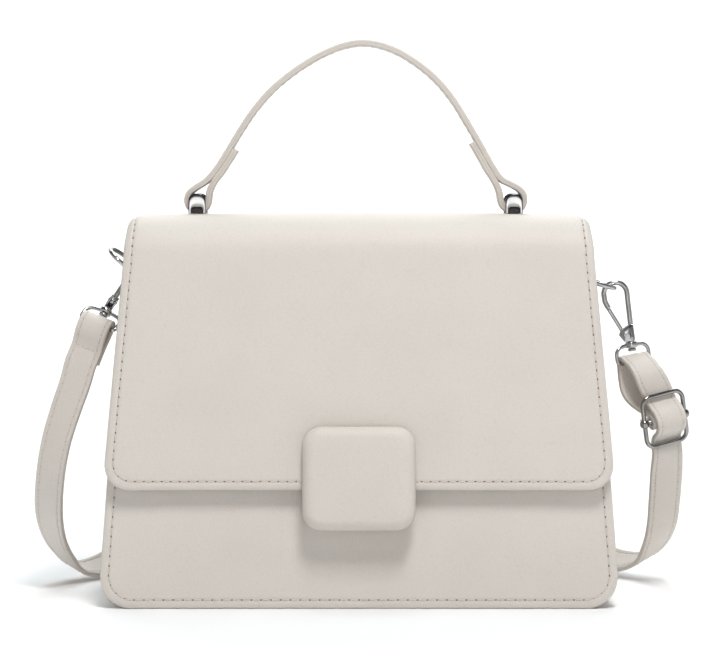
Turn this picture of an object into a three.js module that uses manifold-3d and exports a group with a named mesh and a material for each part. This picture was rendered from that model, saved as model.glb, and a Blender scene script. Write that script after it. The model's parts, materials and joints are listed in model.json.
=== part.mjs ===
// Structured flap handbag with a top handle and a long shoulder strap.
// Millimetres. X is to the right, Y to the back, Z up.
// The origin is on the floor under the middle of the base.
import * as THREE from "three";
import { mergeVertices } from "three/addons/utils/BufferGeometryUtils.js";
import Module from "manifold-3d";

const wasm = await Module();
wasm.setup();

const vec = (x, y, z) => new THREE.Vector3(x, y, z);
const radians = THREE.MathUtils.degToRad;

// Body
const GAP = 0.3;
const BASE_HALF_WIDTH = 123;
const SIDE_SLOPE = 0.071;
const BASE_FRONT_Y = -47;
const PANEL_SLOPE = 0.094;
const PANEL_THICKNESS = 2.4;
const PANEL_TOP = 168;
const PANEL_LIFT = 0.3;
const PANEL_CORNER = 16;
const GUSSET_INSET = 1;
const GUSSET_CORNER = 15;
const GUSSET_WALL = 2.2;
const GUSSET_FLANGE = 7;
const GUSSET_FLANGE_WALL = 1.4;
const GUSSET_DENT = 11.2;
const DENT_FROM = 30;
const DENT_TO = 160;

// Flap
const FLAP_THICKNESS = 2.8;
const FLAP_TOP = 185.6;
const FLAP_CROWN = 1.1;
const FLAP_EDGE_ROLL = 6.5;
const FLAP_EDGE_DROP = 2.8;
const FLAP_SHOULDER = 20;
const FLAP_FRONT_SLOPE = 0.105;
const FLAP_FRONT_TOP_Y = -35.6;
const FLAP_HEM_Z = 56.5;
const FLAP_BACK_HEM_Z = 138;
const FLAP_SHOULDER_HALF_WIDTH = 110.8;
const FLAP_SIDE_SLOPE = 0.088;
const FLAP_TOP_NARROWING = 1;
const FLAP_HEM_CORNER = 13;
const FLAP_BACK_CORNER = 6;

// Clasp
const CLASP = { width: 53, height: 48.5, corner: 8, rim: 2, roll: 5.5, crown: 0.7, z: 62 };
const MAGNET = { radius: 7.5, z: 46.5, clearance: 0.85 };

// Handle and its metal bridges
const HANDLE_WIDTH = 15;
const HANDLE_THICKNESS = 2.8;
const BRIDGE_X = { left: -77.8, right: 74.6 };
const BRIDGE_Z = 191.4;
const BRIDGE_BAR = { width: 6.6, height: 5.2, corner: 2.5 };
const BRIDGE_LEG = { width: 8.2, thickness: 2, foot: 185.3, top: 195, corner: 3.4 };
const BRIDGE_NOTCH = { width: 5.6, height: 3.2 };

// Centre line of the handle between the two seams
const HANDLE_ARCH = [
  { x: -68.6, z: 206.8 },
  { x: -62.9, z: 215.6 },
  { x: -57.2, z: 225.0 },
  { x: -50.4, z: 235.0 },
  { x: -42.8, z: 243.8 },
  { x: -34.6, z: 251.0 },
  { x: -25.6, z: 257.3 },
  { x: -16.4, z: 262.4 },
  { x: -7.2, z: 265.9 },
  { x: 1.8, z: 267.3 },
  { x: 11.0, z: 265.9 },
  { x: 20.2, z: 262.2 },
  { x: 29.2, z: 256.4 },
  { x: 37.4, z: 249.4 },
  { x: 45.2, z: 240.0 },
  { x: 51.6, z: 229.8 },
  { x: 58.2, z: 218.6 },
  { x: 64.2, z: 208.0 },
];

// The end loops of the handle, from their bridge bars: "out" points to the nearer side of the bag
const HANDLE_LOOP = {
  left: [
    { out: -8.1, up: 9.5 },
    { out: -5.8, up: 4.7 },
    { out: -5.2, up: 0.5 },
    { out: -4.3, up: -2.6 },
    { out: -1.8, up: -4.5 },
    { out: 1.6, up: -4.5 },
    { out: 4, up: -3 },
    { out: 5, up: 0.4 },
    { out: 4.1, up: 3.6 },
    { out: 1, up: 6.3 },
    { out: -2.2, up: 8.2 },
    { out: -5, up: 10.4 },
  ],
  right: [
    { out: -9.1, up: 9.4 },
    { out: -7, up: 4.7 },
    { out: -6.2, up: 0.5 },
    { out: -4.9, up: -2.6 },
    { out: -2, up: -4.5 },
    { out: 1.6, up: -4.5 },
    { out: 4, up: -3 },
    { out: 5.1, up: 0.6 },
    { out: 4.5, up: 3.6 },
    { out: 2.2, up: 6 },
    { out: -1.8, up: 8.2 },
    { out: -6, up: 10.4 },
  ],
};
const HANDLE_TAIL = { left: 15, right: 15.2 };

// Rings on the sides and the leather tabs that hold them
const RING_WIRE = 1.1;
const RING_HALF_WIDTH = 8;
const RING_LENGTH = 20;
const RING_BAR = { x: 104.8, z: 155 };
const TAB = { width: 12.6, thickness: 1.6, length: 23, stand: 1.1 };

// Snap hooks, in their own plane: x across from the swivel axis, z up from the top of the eye
const HOOK_WIRE = 1.3;
const HOOK_EYE = { x: -4.2, radius: 5.6 };
const HOOK_NOSE = [
  { x: -9.7, z: -7.4 },
  { x: -8.56, z: -10.56 },
];
const HOOK_SPINE_FOOT = { x: 0.8, z: -25 };
const HOOK_WEB = [
  { x: 2.1, z: -19.5 },
  { x: 2.1, z: -28 },
  { x: -3.2, z: -28 },
  { x: -5.2, z: -24.6 },
  { x: -4.0, z: -21.8 },
  { x: -0.2, z: -20.2 },
];
const HOOK_WEB_THICKNESS = 4.2;
const HOOK_SLOT = { width: 2.3, inner: -0.3, floor: -27 };
const HOOK_POST = { radius: 1.25, head: 2.1, headHeight: 1.4 };
const GATE = { x: -2.7, z: -24.4, thickness: 1.7, width: 1.9, length: 14.6, lean: 23.5 };
const GATE_EYE = { radius: 2, hole: 1.1, pin: 0.75 };
const COLLAR = { top: -28.3, height: 3, radius: 3, bore: 1.6 };
const SWIVEL_WIRE = 0.95;
const SWIVEL_HALF_WIDTH = 9.4;
const SWIVEL_BAR_Z = -38;

// Shoulder strap and its slide buckle
const STRAP_WIDTH = 16;
const STRAP_THICKNESS = 2.4;
const SLIDER = { halfWidth: 11.2, halfHeight: 12.4, corner: 4.5, wire: 1.1 };
const SLIDER_EYE = { radius: 2.35, hole: 1.42 };

// The strap beside a bar: along is down the strap, front is to its outer face, and side is across it.
// The end sewn round the slider's bar, from the middle of the slider
const STRAP_SEWN_END = [
  { along: 1.4, front: -10 },
  { along: 0.6, front: -5.4 },
  { along: 1.2, front: -2.5 },
  { along: 2.3, front: -1.4 },
  { along: 2.7, front: 0 },
  { along: 1.9, front: 1.9 },
  { along: 0, front: 2.7 },
  { along: -1.9, front: 1.9 },
  { along: -2.8, front: -0.2 },
  { along: -3.4, front: -3.4 },
  { along: -4.6, front: -7 },
];
// The loose fold on the right ring, from the ring's bar
const STRAP_RIGHT_FOLD = [
  { along: 14, front: -6.4 },
  { along: 6.4, front: -5.4 },
  { along: 0.6, front: -2.8 },
  { along: -1.84, front: -1.84 },
  { along: -2.6, front: 0 },
  { along: -1.84, front: 1.84 },
  { along: 0.4, front: 3.4 },
  { along: 4, front: 6 },
  { along: 8.6, front: 7.4 },
];
// The outer layer through the slider: under its top wire, over its bar and under its lower wire
const STRAP_THROUGH_SLIDER = [
  { along: -12.6, front: -3.1, side: -0.2 },
  { along: -8.4, front: -1, side: 0 },
  { along: -4.8, front: 3.9, side: 0.2 },
  { along: 0, front: 6.1, side: 0.3 },
  { along: 4.8, front: 3.9, side: 0.5 },
  { along: 8.4, front: -1, side: 0.7 },
  { along: 12.6, front: -3.1, side: 0.8 },
  { along: 16.2, front: -2.6, side: 0.6 },
];
// The sewn fold on the left ring, from the ring's bar: the front layer, the fold and the tail behind
const STRAP_LEFT_FOLD = [
  { along: 21, front: 1.7 },
  { along: 16, front: 1.6 },
  { along: 12.5, front: 1.5 },
  { along: 9, front: 2.6 },
  { along: 5.5, front: 4 },
  { along: 2, front: 4.4 },
  { along: -1.2, front: 3.7 },
  { along: -2.9, front: 1.4 },
  { along: -2.6, front: -1.2 },
  { along: -0.6, front: -2.7 },
  { along: 4, front: -2.4 },
  { along: 9, front: -1.6 },
  { along: 14, front: -1.35 },
  { along: 18.5, front: -1.4 },
];

// The hanging strap down to the floor: out is away from the bag's middle,
// and (wo, wy, wz) is the width's direction
const STRAP_HANG_RIGHT = [
  { out: 150.2, y: 5, z: 59, wo: 0.98, wy: 0.17, wz: 0.08 },
  { out: 150.4, y: 13.5, z: 44.5, wo: 0.97, wy: 0.2, wz: 0.1 },
  { out: 150, y: 21, z: 31, wo: 0.94, wy: 0.3, wz: 0.14 },
  { out: 148, y: 31, z: 20, wo: 0.86, wy: 0.46, wz: 0.2 },
  { out: 143.5, y: 43, z: 11, wo: 0.66, wy: 0.7, wz: 0.26 },
  { out: 131, y: 59, z: 7, wo: 0.7, wy: 0.4, wz: 0.58 },
  { out: 119.5, y: 84, z: 8.2, wo: 0.5, wy: 0.2, wz: 0.84 },
];
const STRAP_HANG_LEFT = [
  { out: 136.4, y: -12.4, z: 104.5, wo: 0.9, wy: 0.34, wz: 0.29 },
  { out: 141.1, y: -12.8, z: 91, wo: 0.89, wy: 0.4, wz: 0.21 },
  { out: 145.4, y: -12.6, z: 77.2, wo: 0.87, wy: 0.46, wz: 0.14 },
  { out: 148.3, y: -11, z: 63.4, wo: 0.86, wy: 0.5, wz: 0.08 },
  { out: 150.2, y: -6.5, z: 49.2, wo: 0.84, wy: 0.53, wz: 0.09 },
  { out: 151.1, y: 2, z: 37, wo: 0.82, wy: 0.55, wz: 0.14 },
  { out: 150.3, y: 13, z: 26, wo: 0.78, wy: 0.58, wz: 0.2 },
  { out: 147.2, y: 27, z: 15.4, wo: 0.72, wy: 0.64, wz: 0.22 },
  { out: 141.4, y: 41, z: 6.4, wo: 0.6, wy: 0.76, wz: 0.22 },
  { out: 131, y: 54, z: 5.3, wo: 0.55, wy: 0.68, wz: 0.42 },
  { out: 119.5, y: 80, z: 7.6, wo: 0.5, wy: 0.3, wz: 0.78 },
];
const STRAP_FLOOR = { halfWidth: 113, z: 8.4, legStart: 112, legEnd: 190, turnSteps: 26 };

const LEATHER = { color: 0xe2dad1, roughness: 0.5, metalness: 0 };
const METAL = { color: 0xc6c6c8, roughness: 0.2, metalness: 1 };

// Heights to places on the body
const bodyHalfWidth = (z) => BASE_HALF_WIDTH - SIDE_SLOPE * z;
const panelFrontY = (z) => BASE_FRONT_Y + PANEL_SLOPE * z;
const panelTilt = Math.atan(PANEL_SLOPE);
const gussetFrontY = (z) => panelFrontY(z) + PANEL_THICKNESS / Math.cos(panelTilt) + GAP;
const flapTilt = Math.atan(FLAP_FRONT_SLOPE);
const flapFrontY = (z) => FLAP_FRONT_TOP_Y - FLAP_FRONT_SLOPE * (FLAP_TOP - z);
const flapBackY = (z) => -panelFrontY(z) + (2 * GAP + FLAP_THICKNESS) / Math.cos(panelTilt);
const gussetDent = (z) => GUSSET_DENT * THREE.MathUtils.smoothstep(z, DENT_FROM, DENT_TO);
const gussetMiddleX = (z) => bodyHalfWidth(z) - GUSSET_INSET - gussetDent(z);

// A mesh with its name and its own material
function piece(name, geometry, look) {
  const mesh = new THREE.Mesh(geometry, new THREE.MeshStandardMaterial(look));
  mesh.name = name;
  return mesh;
}

// An indexed closed surface with its faces turned outward
function solid(points, triangles) {
  let volume = 0;
  for (const [a, b, c] of triangles) {
    volume += points[a].dot(points[b].clone().cross(points[c]));
  }
  const faces = volume < 0 ? triangles.map(([a, b, c]) => [a, c, b]) : triangles;
  const geometry = new THREE.BufferGeometry();
  const positions = points.flatMap((point) => [point.x, point.y, point.z]);
  geometry.setAttribute("position", new THREE.Float32BufferAttribute(positions, 3));
  geometry.setIndex(faces.flat());
  geometry.computeVertexNormals();
  return geometry;
}

// Triangles over a flat ring of points
function capTriangles(ring) {
  const middle = ring.reduce((sum, point) => sum.add(point), vec(0, 0, 0)).divideScalar(ring.length);
  const normal = vec(0, 0, 0);
  ring.forEach((point, i) => {
    const next = ring[(i + 1) % ring.length];
    normal.add(point.clone().sub(middle).cross(next.clone().sub(middle)));
  });
  normal.normalize();
  const across = ring[1].clone().sub(ring[0]).normalize();
  const up = normal.clone().cross(across);
  const flat = ring.map((point) => new THREE.Vector2(point.dot(across), point.dot(up)));
  return THREE.ShapeUtils.triangulateShape(flat, []);
}

// The skin over a row of rings with equal numbers of points, capped unless the row closes on itself
function skin(rings, closed = false) {
  const count = rings[0].length;
  const triangles = [];
  const spans = closed ? rings.length : rings.length - 1;
  for (let i = 0; i < spans; i++) {
    const here = i * count;
    const there = ((i + 1) % rings.length) * count;
    for (let j = 0; j < count; j++) {
      const k = (j + 1) % count;
      triangles.push([here + j, here + k, there + k], [here + j, there + k, there + j]);
    }
  }
  if (!closed) {
    const end = (rings.length - 1) * count;
    for (const [a, b, c] of capTriangles(rings[0])) {
      triangles.push([a, c, b]);
    }
    for (const [a, b, c] of capTriangles(rings[rings.length - 1])) {
      triangles.push([end + a, end + b, end + c]);
    }
  }
  return solid(rings.flat(), triangles);
}

// A line through flat corners {x, y, r}, each corner rounded to its radius r
function roundedPath(corners, closed = false, arcSteps = 6) {
  const points = [];
  const total = corners.length;
  corners.forEach((corner, i) => {
    const here = new THREE.Vector2(corner.x, corner.y);
    if (!corner.r || (!closed && (i === 0 || i === total - 1))) {
      points.push(here);
      return;
    }
    const before = corners[(i - 1 + total) % total];
    const after = corners[(i + 1) % total];
    const back = new THREE.Vector2(before.x, before.y).sub(here).normalize();
    const ahead = new THREE.Vector2(after.x, after.y).sub(here).normalize();
    const half = Math.acos(back.dot(ahead)) / 2;
    const centre = back.clone().add(ahead).normalize().multiplyScalar(corner.r / Math.sin(half)).add(here);
    const start = back.clone().multiplyScalar(corner.r / Math.tan(half)).add(here).sub(centre);
    const end = ahead.clone().multiplyScalar(corner.r / Math.tan(half)).add(here).sub(centre);
    const turn = Math.atan2(start.cross(end), start.dot(end));
    for (let k = 0; k <= arcSteps; k++) {
      points.push(start.clone().rotateAround(new THREE.Vector2(0, 0), (turn * k) / arcSteps).add(centre));
    }
  });
  return points;
}

// Unit tangents along a row of points
function tangents(points, closed = false) {
  const last = points.length - 1;
  return points.map((_, i) => {
    const before = closed ? points[(i + last) % points.length] : points[Math.max(i - 1, 0)];
    const after = closed ? points[(i + 1) % points.length] : points[Math.min(i + 1, last)];
    return after.clone().sub(before).normalize();
  });
}

// A round wire along a flat path in the XZ plane
function wire(path, radius, closed, sides = 8) {
  const points = path.map((point) => vec(point.x, 0, point.y));
  const along = tangents(points, closed);
  const rings = points.map((point, i) => {
    const side = vec(along[i].z, 0, -along[i].x);
    return Array.from({ length: sides }, (_, k) => {
      const angle = (2 * Math.PI * (k + 0.5)) / sides;
      const up = vec(0, radius * Math.sin(angle), 0);
      return point.clone().addScaledVector(side, radius * Math.cos(angle)).add(up);
    });
  });
  return skin(rings, closed);
}

// A flat band carried along a row of points, wide along each station's width direction
function band(points, widths, width, thickness) {
  const along = tangents(points);
  const rings = points.map((point, i) => {
    const wide = widths[i].clone().addScaledVector(along[i], -widths[i].dot(along[i])).normalize();
    const normal = along[i].clone().cross(wide);
    const corners = [[1, 1], [-1, 1], [-1, -1], [1, -1]];
    return corners.map(([a, b]) => {
      const across = wide.clone().multiplyScalar((a * width) / 2);
      return point.clone().add(across).addScaledVector(normal, (b * thickness) / 2);
    });
  });
  return skin(rings);
}

// Joining and cutting
function asManifold(geometry) {
  const bare = geometry.clone();
  bare.deleteAttribute("normal");
  bare.deleteAttribute("uv");
  const merged = mergeVertices(bare, 1e-4);
  const vertProperties = new Float32Array(merged.attributes.position.array);
  const triVerts = new Uint32Array(merged.index.array);
  return new wasm.Manifold(new wasm.Mesh({ numProp: 3, vertProperties, triVerts }));
}

function asGeometry(manifold) {
  const mesh = manifold.getMesh();
  const geometry = new THREE.BufferGeometry();
  geometry.setAttribute("position", new THREE.Float32BufferAttribute(mesh.vertProperties, 3));
  geometry.setIndex(Array.from(mesh.triVerts));
  geometry.computeVertexNormals();
  return geometry;
}

function joined(...geometries) {
  return geometries.map(asManifold).reduce((whole, next) => whole.add(next));
}

// A shape drawn in the XZ plane, extruded to equal depths in front of and behind that plane
function slab(outline, depth, y = 0) {
  const geometry = new THREE.ExtrudeGeometry(new THREE.Shape(outline), { depth, bevelEnabled: false });
  return geometry.translate(0, 0, -depth / 2).rotateX(Math.PI / 2).translate(0, y, 0);
}

function rod(radius, length, axis, centre, sides = 14) {
  const geometry = new THREE.CylinderGeometry(radius, radius, length, sides);
  if (axis === "x") geometry.rotateZ(Math.PI / 2);
  if (axis === "z") geometry.rotateX(Math.PI / 2);
  return geometry.translate(centre.x, centre.y, centre.z);
}

// A group whose axes are the given directions
function frameGroup(origin, xAxis, yAxis, zAxis) {
  const frame = new THREE.Group();
  frame.quaternion.setFromRotationMatrix(new THREE.Matrix4().makeBasis(xAxis, yAxis, zAxis));
  frame.position.copy(origin);
  return frame;
}

// Front and back panels: flat plates with rounded lower corners, leaning in to the top
function panel(name, side) {
  const corner = (sign, z, r) => ({ x: sign * bodyHalfWidth(z), y: z / Math.cos(panelTilt), r });
  const outline = roundedPath([
    corner(-1, PANEL_LIFT, PANEL_CORNER),
    corner(1, PANEL_LIFT, PANEL_CORNER),
    corner(1, PANEL_TOP, 3),
    corner(-1, PANEL_TOP, 3),
  ], true);
  const shape = new THREE.Shape(outline);
  const geometry = new THREE.ExtrudeGeometry(shape, { depth: PANEL_THICKNESS, bevelEnabled: false });
  const mesh = piece(name, geometry, LEATHER);
  mesh.rotation.set(Math.PI / 2 - panelTilt, 0, 0);
  mesh.position.y = panelFrontY(0) + PANEL_THICKNESS / Math.cos(panelTilt);
  const turned = new THREE.Group();
  turned.rotation.z = side === "front" ? 0 : Math.PI;
  turned.add(mesh);
  return turned;
}

// Gusset: one strip round both sides and the base, with flanges turned in behind the panels.
// Its side walls fold inward to the top.
function gusset() {
  const edge = (sign, z) => ({ x: sign * (bodyHalfWidth(z) - GUSSET_INSET), y: z, r: GUSSET_CORNER });
  const sideHeights = [170, 150, 130, 110, 90, 70, 50, 30];
  const left = sideHeights.map((z) => ({ ...edge(-1, z), r: 0 }));
  const right = sideHeights.map((z) => ({ ...edge(1, z), r: 0 })).reverse();
  const path = roundedPath([...left, edge(-1, 0), edge(1, 0), ...right]);
  const along = tangents(path);
  const webFractions = [1 / 6, 1 / 3, 1 / 2, 2 / 3, 5 / 6];
  const rings = path.map((station, i) => {
    const inward = new THREE.Vector2(-along[i].y, along[i].x);
    const place = (fraction, depth, wall) => {
      const z = station.y + depth * inward.y;
      const front = gussetFrontY(z) + wall;
      return vec(station.x + depth * inward.x, front * (1 - 2 * fraction), z);
    };
    const bowed = (fraction) => gussetDent(station.y) * (1 - (2 * fraction - 1) ** 2);
    const outer = webFractions.map((fraction) => place(fraction, bowed(fraction), 0));
    const inner = webFractions.map((fraction) => place(fraction, bowed(fraction) + GUSSET_WALL, 0));
    return [
      place(0, GUSSET_FLANGE, 0),
      place(0, 0, 0),
      ...outer,
      place(1, 0, 0),
      place(1, GUSSET_FLANGE, 0),
      place(1, GUSSET_FLANGE, GUSSET_FLANGE_WALL),
      place(1, GUSSET_WALL, GUSSET_FLANGE_WALL),
      ...inner.reverse(),
      place(0, GUSSET_WALL, GUSSET_FLANGE_WALL),
      place(0, GUSSET_FLANGE, GUSSET_FLANGE_WALL),
    ];
  });
  return piece("gusset", skin(rings), LEATHER);
}

// Flap: one sheet sewn low on the back, carried over the top with soft shoulders and down the front.
// Its top sags a little to the sides and rolls down at both edges.
function flap() {
  const hemRows = [13, 9.5, 6.2, 3.4, 1.3, 0.3];
  const backRows = [0.2, 1.4, 3.4, 6];
  const front = hemRows.map((rise) => ({ x: flapFrontY(FLAP_HEM_Z + rise), y: FLAP_HEM_Z + rise }));
  const back = backRows.map((rise) => ({ x: flapBackY(FLAP_BACK_HEM_Z + rise), y: FLAP_BACK_HEM_Z + rise }));
  const path = roundedPath([
    { x: flapBackY(FLAP_BACK_HEM_Z), y: FLAP_BACK_HEM_Z },
    ...back,
    { x: flapBackY(FLAP_TOP), y: FLAP_TOP, r: FLAP_SHOULDER },
    { x: FLAP_FRONT_TOP_Y, y: FLAP_TOP, r: FLAP_SHOULDER },
    { x: flapFrontY(135), y: 135 },
    { x: flapFrontY(100), y: 100 },
    ...front,
    { x: flapFrontY(FLAP_HEM_Z), y: FLAP_HEM_Z },
  ], false, 8);
  const along = tangents(path);
  const columns = [-1, -0.98, -0.955, -0.927, -0.62, -0.31, 0, 0.31, 0.62, 0.927, 0.955, 0.98, 1];
  const cut = (rise, corner) => {
    const short = Math.max(corner - rise, 0);
    return corner - Math.sqrt(corner * corner - short * short);
  };
  const rings = path.map((station, i) => {
    const onFront = station.x < 0;
    const drop = Math.max(FLAP_TOP - FLAP_SHOULDER - station.y, 0);
    const overShoulder = THREE.MathUtils.smoothstep(station.y, FLAP_TOP - FLAP_SHOULDER, FLAP_TOP);
    const narrowing = FLAP_TOP_NARROWING * overShoulder;
    const straight = FLAP_SHOULDER_HALF_WIDTH + FLAP_SIDE_SLOPE * drop - narrowing;
    const rounding = onFront
      ? cut(station.y - FLAP_HEM_Z, FLAP_HEM_CORNER)
      : cut(station.y - FLAP_BACK_HEM_Z, FLAP_BACK_CORNER);
    const half = straight - rounding;
    const high = THREE.MathUtils.smoothstep(station.y, FLAP_TOP - 2 * FLAP_SHOULDER, FLAP_TOP);
    const sag = (column) => {
      const roll = Math.max(1 - (half * (1 - Math.abs(column))) / FLAP_EDGE_ROLL, 0);
      return FLAP_CROWN * column * column * high + FLAP_EDGE_DROP * roll * roll * overShoulder;
    };
    const place = (column, depth) => {
      const y = station.x - depth * along[i].y;
      const z = station.y + depth * along[i].x;
      return vec(column * half, y, z - sag(column));
    };
    const outer = columns.map((column) => place(column, 0));
    const inner = columns.map((column) => place(column, FLAP_THICKNESS)).reverse();
    return [...outer, ...inner];
  });
  return piece("flap", skin(rings), LEATHER);
}

// Clasp block: a rounded square pad with rolled edges, held on the flap with its lower part below the hem
function claspBlock() {
  const ring = (inset, height) => {
    const x = CLASP.width / 2 - inset;
    const y = CLASP.height / 2 - inset;
    const r = Math.max(CLASP.corner - inset, 2);
    const corners = [[-x, -y], [x, -y], [x, y], [-x, y]];
    const outline = roundedPath(corners.map(([cx, cy]) => ({ x: cx, y: cy, r })), true);
    return outline.map((point) => vec(point.x, point.y, height));
  };
  const roll = [0, 22.5, 45, 67.5, 90].map((angle) => {
    const turn = radians(angle);
    return ring(CLASP.roll * (1 - Math.cos(turn)), CLASP.rim + CLASP.roll * Math.sin(turn));
  });
  const crown = ring(CLASP.roll + 9, CLASP.rim + CLASP.roll + CLASP.crown);
  const mesh = piece("clasp_block", skin([ring(0.6, 0), ring(0, 0.6), ...roll, crown]), LEATHER);
  mesh.rotation.set(Math.PI / 2 - flapTilt, 0, 0);
  mesh.position.set(0, flapFrontY(CLASP.z) - GAP, CLASP.z);
  return mesh;
}

// The hidden magnet between the block and the front panel, just below the flap's hem
function claspMagnet() {
  const front = flapFrontY(MAGNET.z) - GAP;
  const back = panelFrontY(MAGNET.z);
  const length = back - front - MAGNET.clearance;
  const geometry = new THREE.CylinderGeometry(MAGNET.radius, MAGNET.radius, length, 20);
  const mesh = piece("clasp_magnet", geometry, METAL);
  mesh.rotation.x = -panelTilt;
  mesh.position.set(0, (front + back) / 2, MAGNET.z);
  return mesh;
}

// Handle: one band looped under each bridge bar, with its ends folded back and sewn inside the arch
function handle() {
  const arch = HANDLE_ARCH.map((row) => vec(row.x, 0, row.z));
  const away = HANDLE_THICKNESS + GAP;
  const tail = (line, length) => {
    const along = tangents(line);
    const inside = line.map((point, i) => {
      const normal = vec(-along[i].z, 0, along[i].x);
      const sign = normal.z > 0 ? -1 : 1;
      return point.clone().addScaledVector(normal, sign * away);
    });
    const start = inside[0];
    return inside.filter((point) => point.distanceTo(start) <= length);
  };
  const loop = (rows, barX, side) => rows.map((row) => vec(barX + side * row.out, 0, BRIDGE_Z + row.up));
  const fine = new THREE.CatmullRomCurve3(arch, false, "centripetal").getPoints(90);
  const leftTail = tail(fine, HANDLE_TAIL.left).filter((_, i) => i % 3 === 0).reverse();
  const rightTail = tail([...fine].reverse(), HANDLE_TAIL.right).filter((_, i) => i % 3 === 0);
  const leftLoop = loop(HANDLE_LOOP.left, BRIDGE_X.left, -1);
  const rightLoop = loop(HANDLE_LOOP.right, BRIDGE_X.right, 1).reverse();
  const keys = [...leftTail, ...leftLoop, ...arch, ...rightLoop, ...rightTail];
  const points = new THREE.CatmullRomCurve3(keys, false, "centripetal").getPoints(2 * (keys.length - 1));
  const widths = points.map(() => vec(0, 1, 0));
  return piece("handle", band(points, widths, HANDLE_WIDTH, HANDLE_THICKNESS), LEATHER);
}

// Bridge: two notched legs on the bag's top, joined by the bar that the handle passes under
function handleBridge(name, x) {
  const box = (width, low, high, r, top) => roundedPath([
    { x: -width / 2, y: low, r: top ? 0 : r },
    { x: width / 2, y: low, r: top ? 0 : r },
    { x: width / 2, y: high, r },
    { x: -width / 2, y: high, r },
  ], true, 4);
  const legY = HANDLE_WIDTH / 2 + GAP + 0.2 + BRIDGE_LEG.thickness / 2;
  const barLow = BRIDGE_Z - BRIDGE_BAR.height / 2;
  const barOutline = box(BRIDGE_BAR.width, barLow, barLow + BRIDGE_BAR.height, BRIDGE_BAR.corner, false);
  const legOutline = box(BRIDGE_LEG.width, BRIDGE_LEG.foot, BRIDGE_LEG.top, BRIDGE_LEG.corner, true);
  const half = BRIDGE_NOTCH.width / 2;
  const notchTop = BRIDGE_LEG.foot + BRIDGE_NOTCH.height;
  const notchOutline = box(2 * half, BRIDGE_LEG.foot - 1, notchTop, 1.4, true);
  const legs = [-legY, legY].map((y) => slab(legOutline, BRIDGE_LEG.thickness, y));
  const notch = asManifold(slab(notchOutline, 4 * legY));
  const whole = joined(...legs, slab(barOutline, 2 * legY)).subtract(notch);
  const mesh = piece(name, asGeometry(whole), METAL);
  mesh.position.x = x;
  return mesh;
}

// Leather tab: a strip folded round the ring's bar, both layers lying down the middle of the gusset.
// Its foot is level on the gusset, and its fold follows the ring's bar.
function ringTab(name, side, axes) {
  const foot = RING_BAR.z - TAB.length;
  const inner = (z) => gussetMiddleX(z) + TAB.stand + TAB.thickness / 2;
  const turn = RING_WIRE + GAP + 0.4 + TAB.thickness / 2;
  const level = vec(0, 1, 0);
  const layer = [foot, foot + 6, foot + 12, foot + 17].map((z) => ({ z, x: inner(z), wide: level }));
  const fold = [180, 135, 90, 45, 0].map((angle) => ({
    x: RING_BAR.x + turn * Math.cos(radians(angle)),
    z: RING_BAR.z + turn * Math.sin(radians(angle)),
    wide: axes.bar,
  }));
  const outer = layer.map((row) => ({ ...row, x: row.x + TAB.thickness + GAP })).reverse();
  const rows = [...layer, ...fold, ...outer];
  const keys = rows.map((row) => vec(side * row.x, 0, row.z));
  const points = new THREE.CatmullRomCurve3(keys, false, "centripetal").getPoints(2 * (keys.length - 1));
  const widths = points.map((_, i) => {
    const row = Math.floor(i / 2);
    return rows[row].wide.clone().lerp(rows[Math.min(row + i % 2, rows.length - 1)].wide, 0.5);
  });
  return piece(name, band(points, widths, TAB.width, TAB.thickness), LEATHER);
}

// The directions of a side ring: out from the bag along the ring, and along its straight bar
function ringAxes(side, tilt, roll) {
  const out = vec(side * Math.cos(radians(tilt)), 0, Math.sin(radians(tilt)));
  const bar = vec(0, 1, 0).applyAxisAngle(out, radians(roll));
  return { out, bar, normal: out.clone().cross(bar), origin: vec(side * RING_BAR.x, 0, RING_BAR.z) };
}

function dRing(name, axes) {
  const half = RING_HALF_WIDTH;
  const path = roundedPath([
    { x: 0, y: -half, r: 2 },
    { x: RING_LENGTH, y: -half, r: half - 0.2 },
    { x: RING_LENGTH, y: half, r: half - 0.2 },
    { x: 0, y: half, r: 2 },
  ], true, 8);
  const frame = frameGroup(axes.origin, axes.out, axes.normal.clone().negate(), axes.bar);
  frame.add(piece(name, wire(path, RING_WIRE, true), METAL));
  return frame;
}

// The frame of a snap hook: z up its swivel axis, y along the ring's wire, x from the nose to the spine
function hookAxes(wirePoint, down, wireDirection) {
  const up = down.clone().normalize().negate();
  const y = wireDirection.clone().addScaledVector(up, -wireDirection.dot(up)).normalize();
  const x = y.clone().cross(up);
  const eyeTop = wirePoint.clone().addScaledVector(up, RING_WIRE + GAP + 0.05);
  return { x, y, up, origin: eyeTop.addScaledVector(x, -HOOK_EYE.x) };
}

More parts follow.
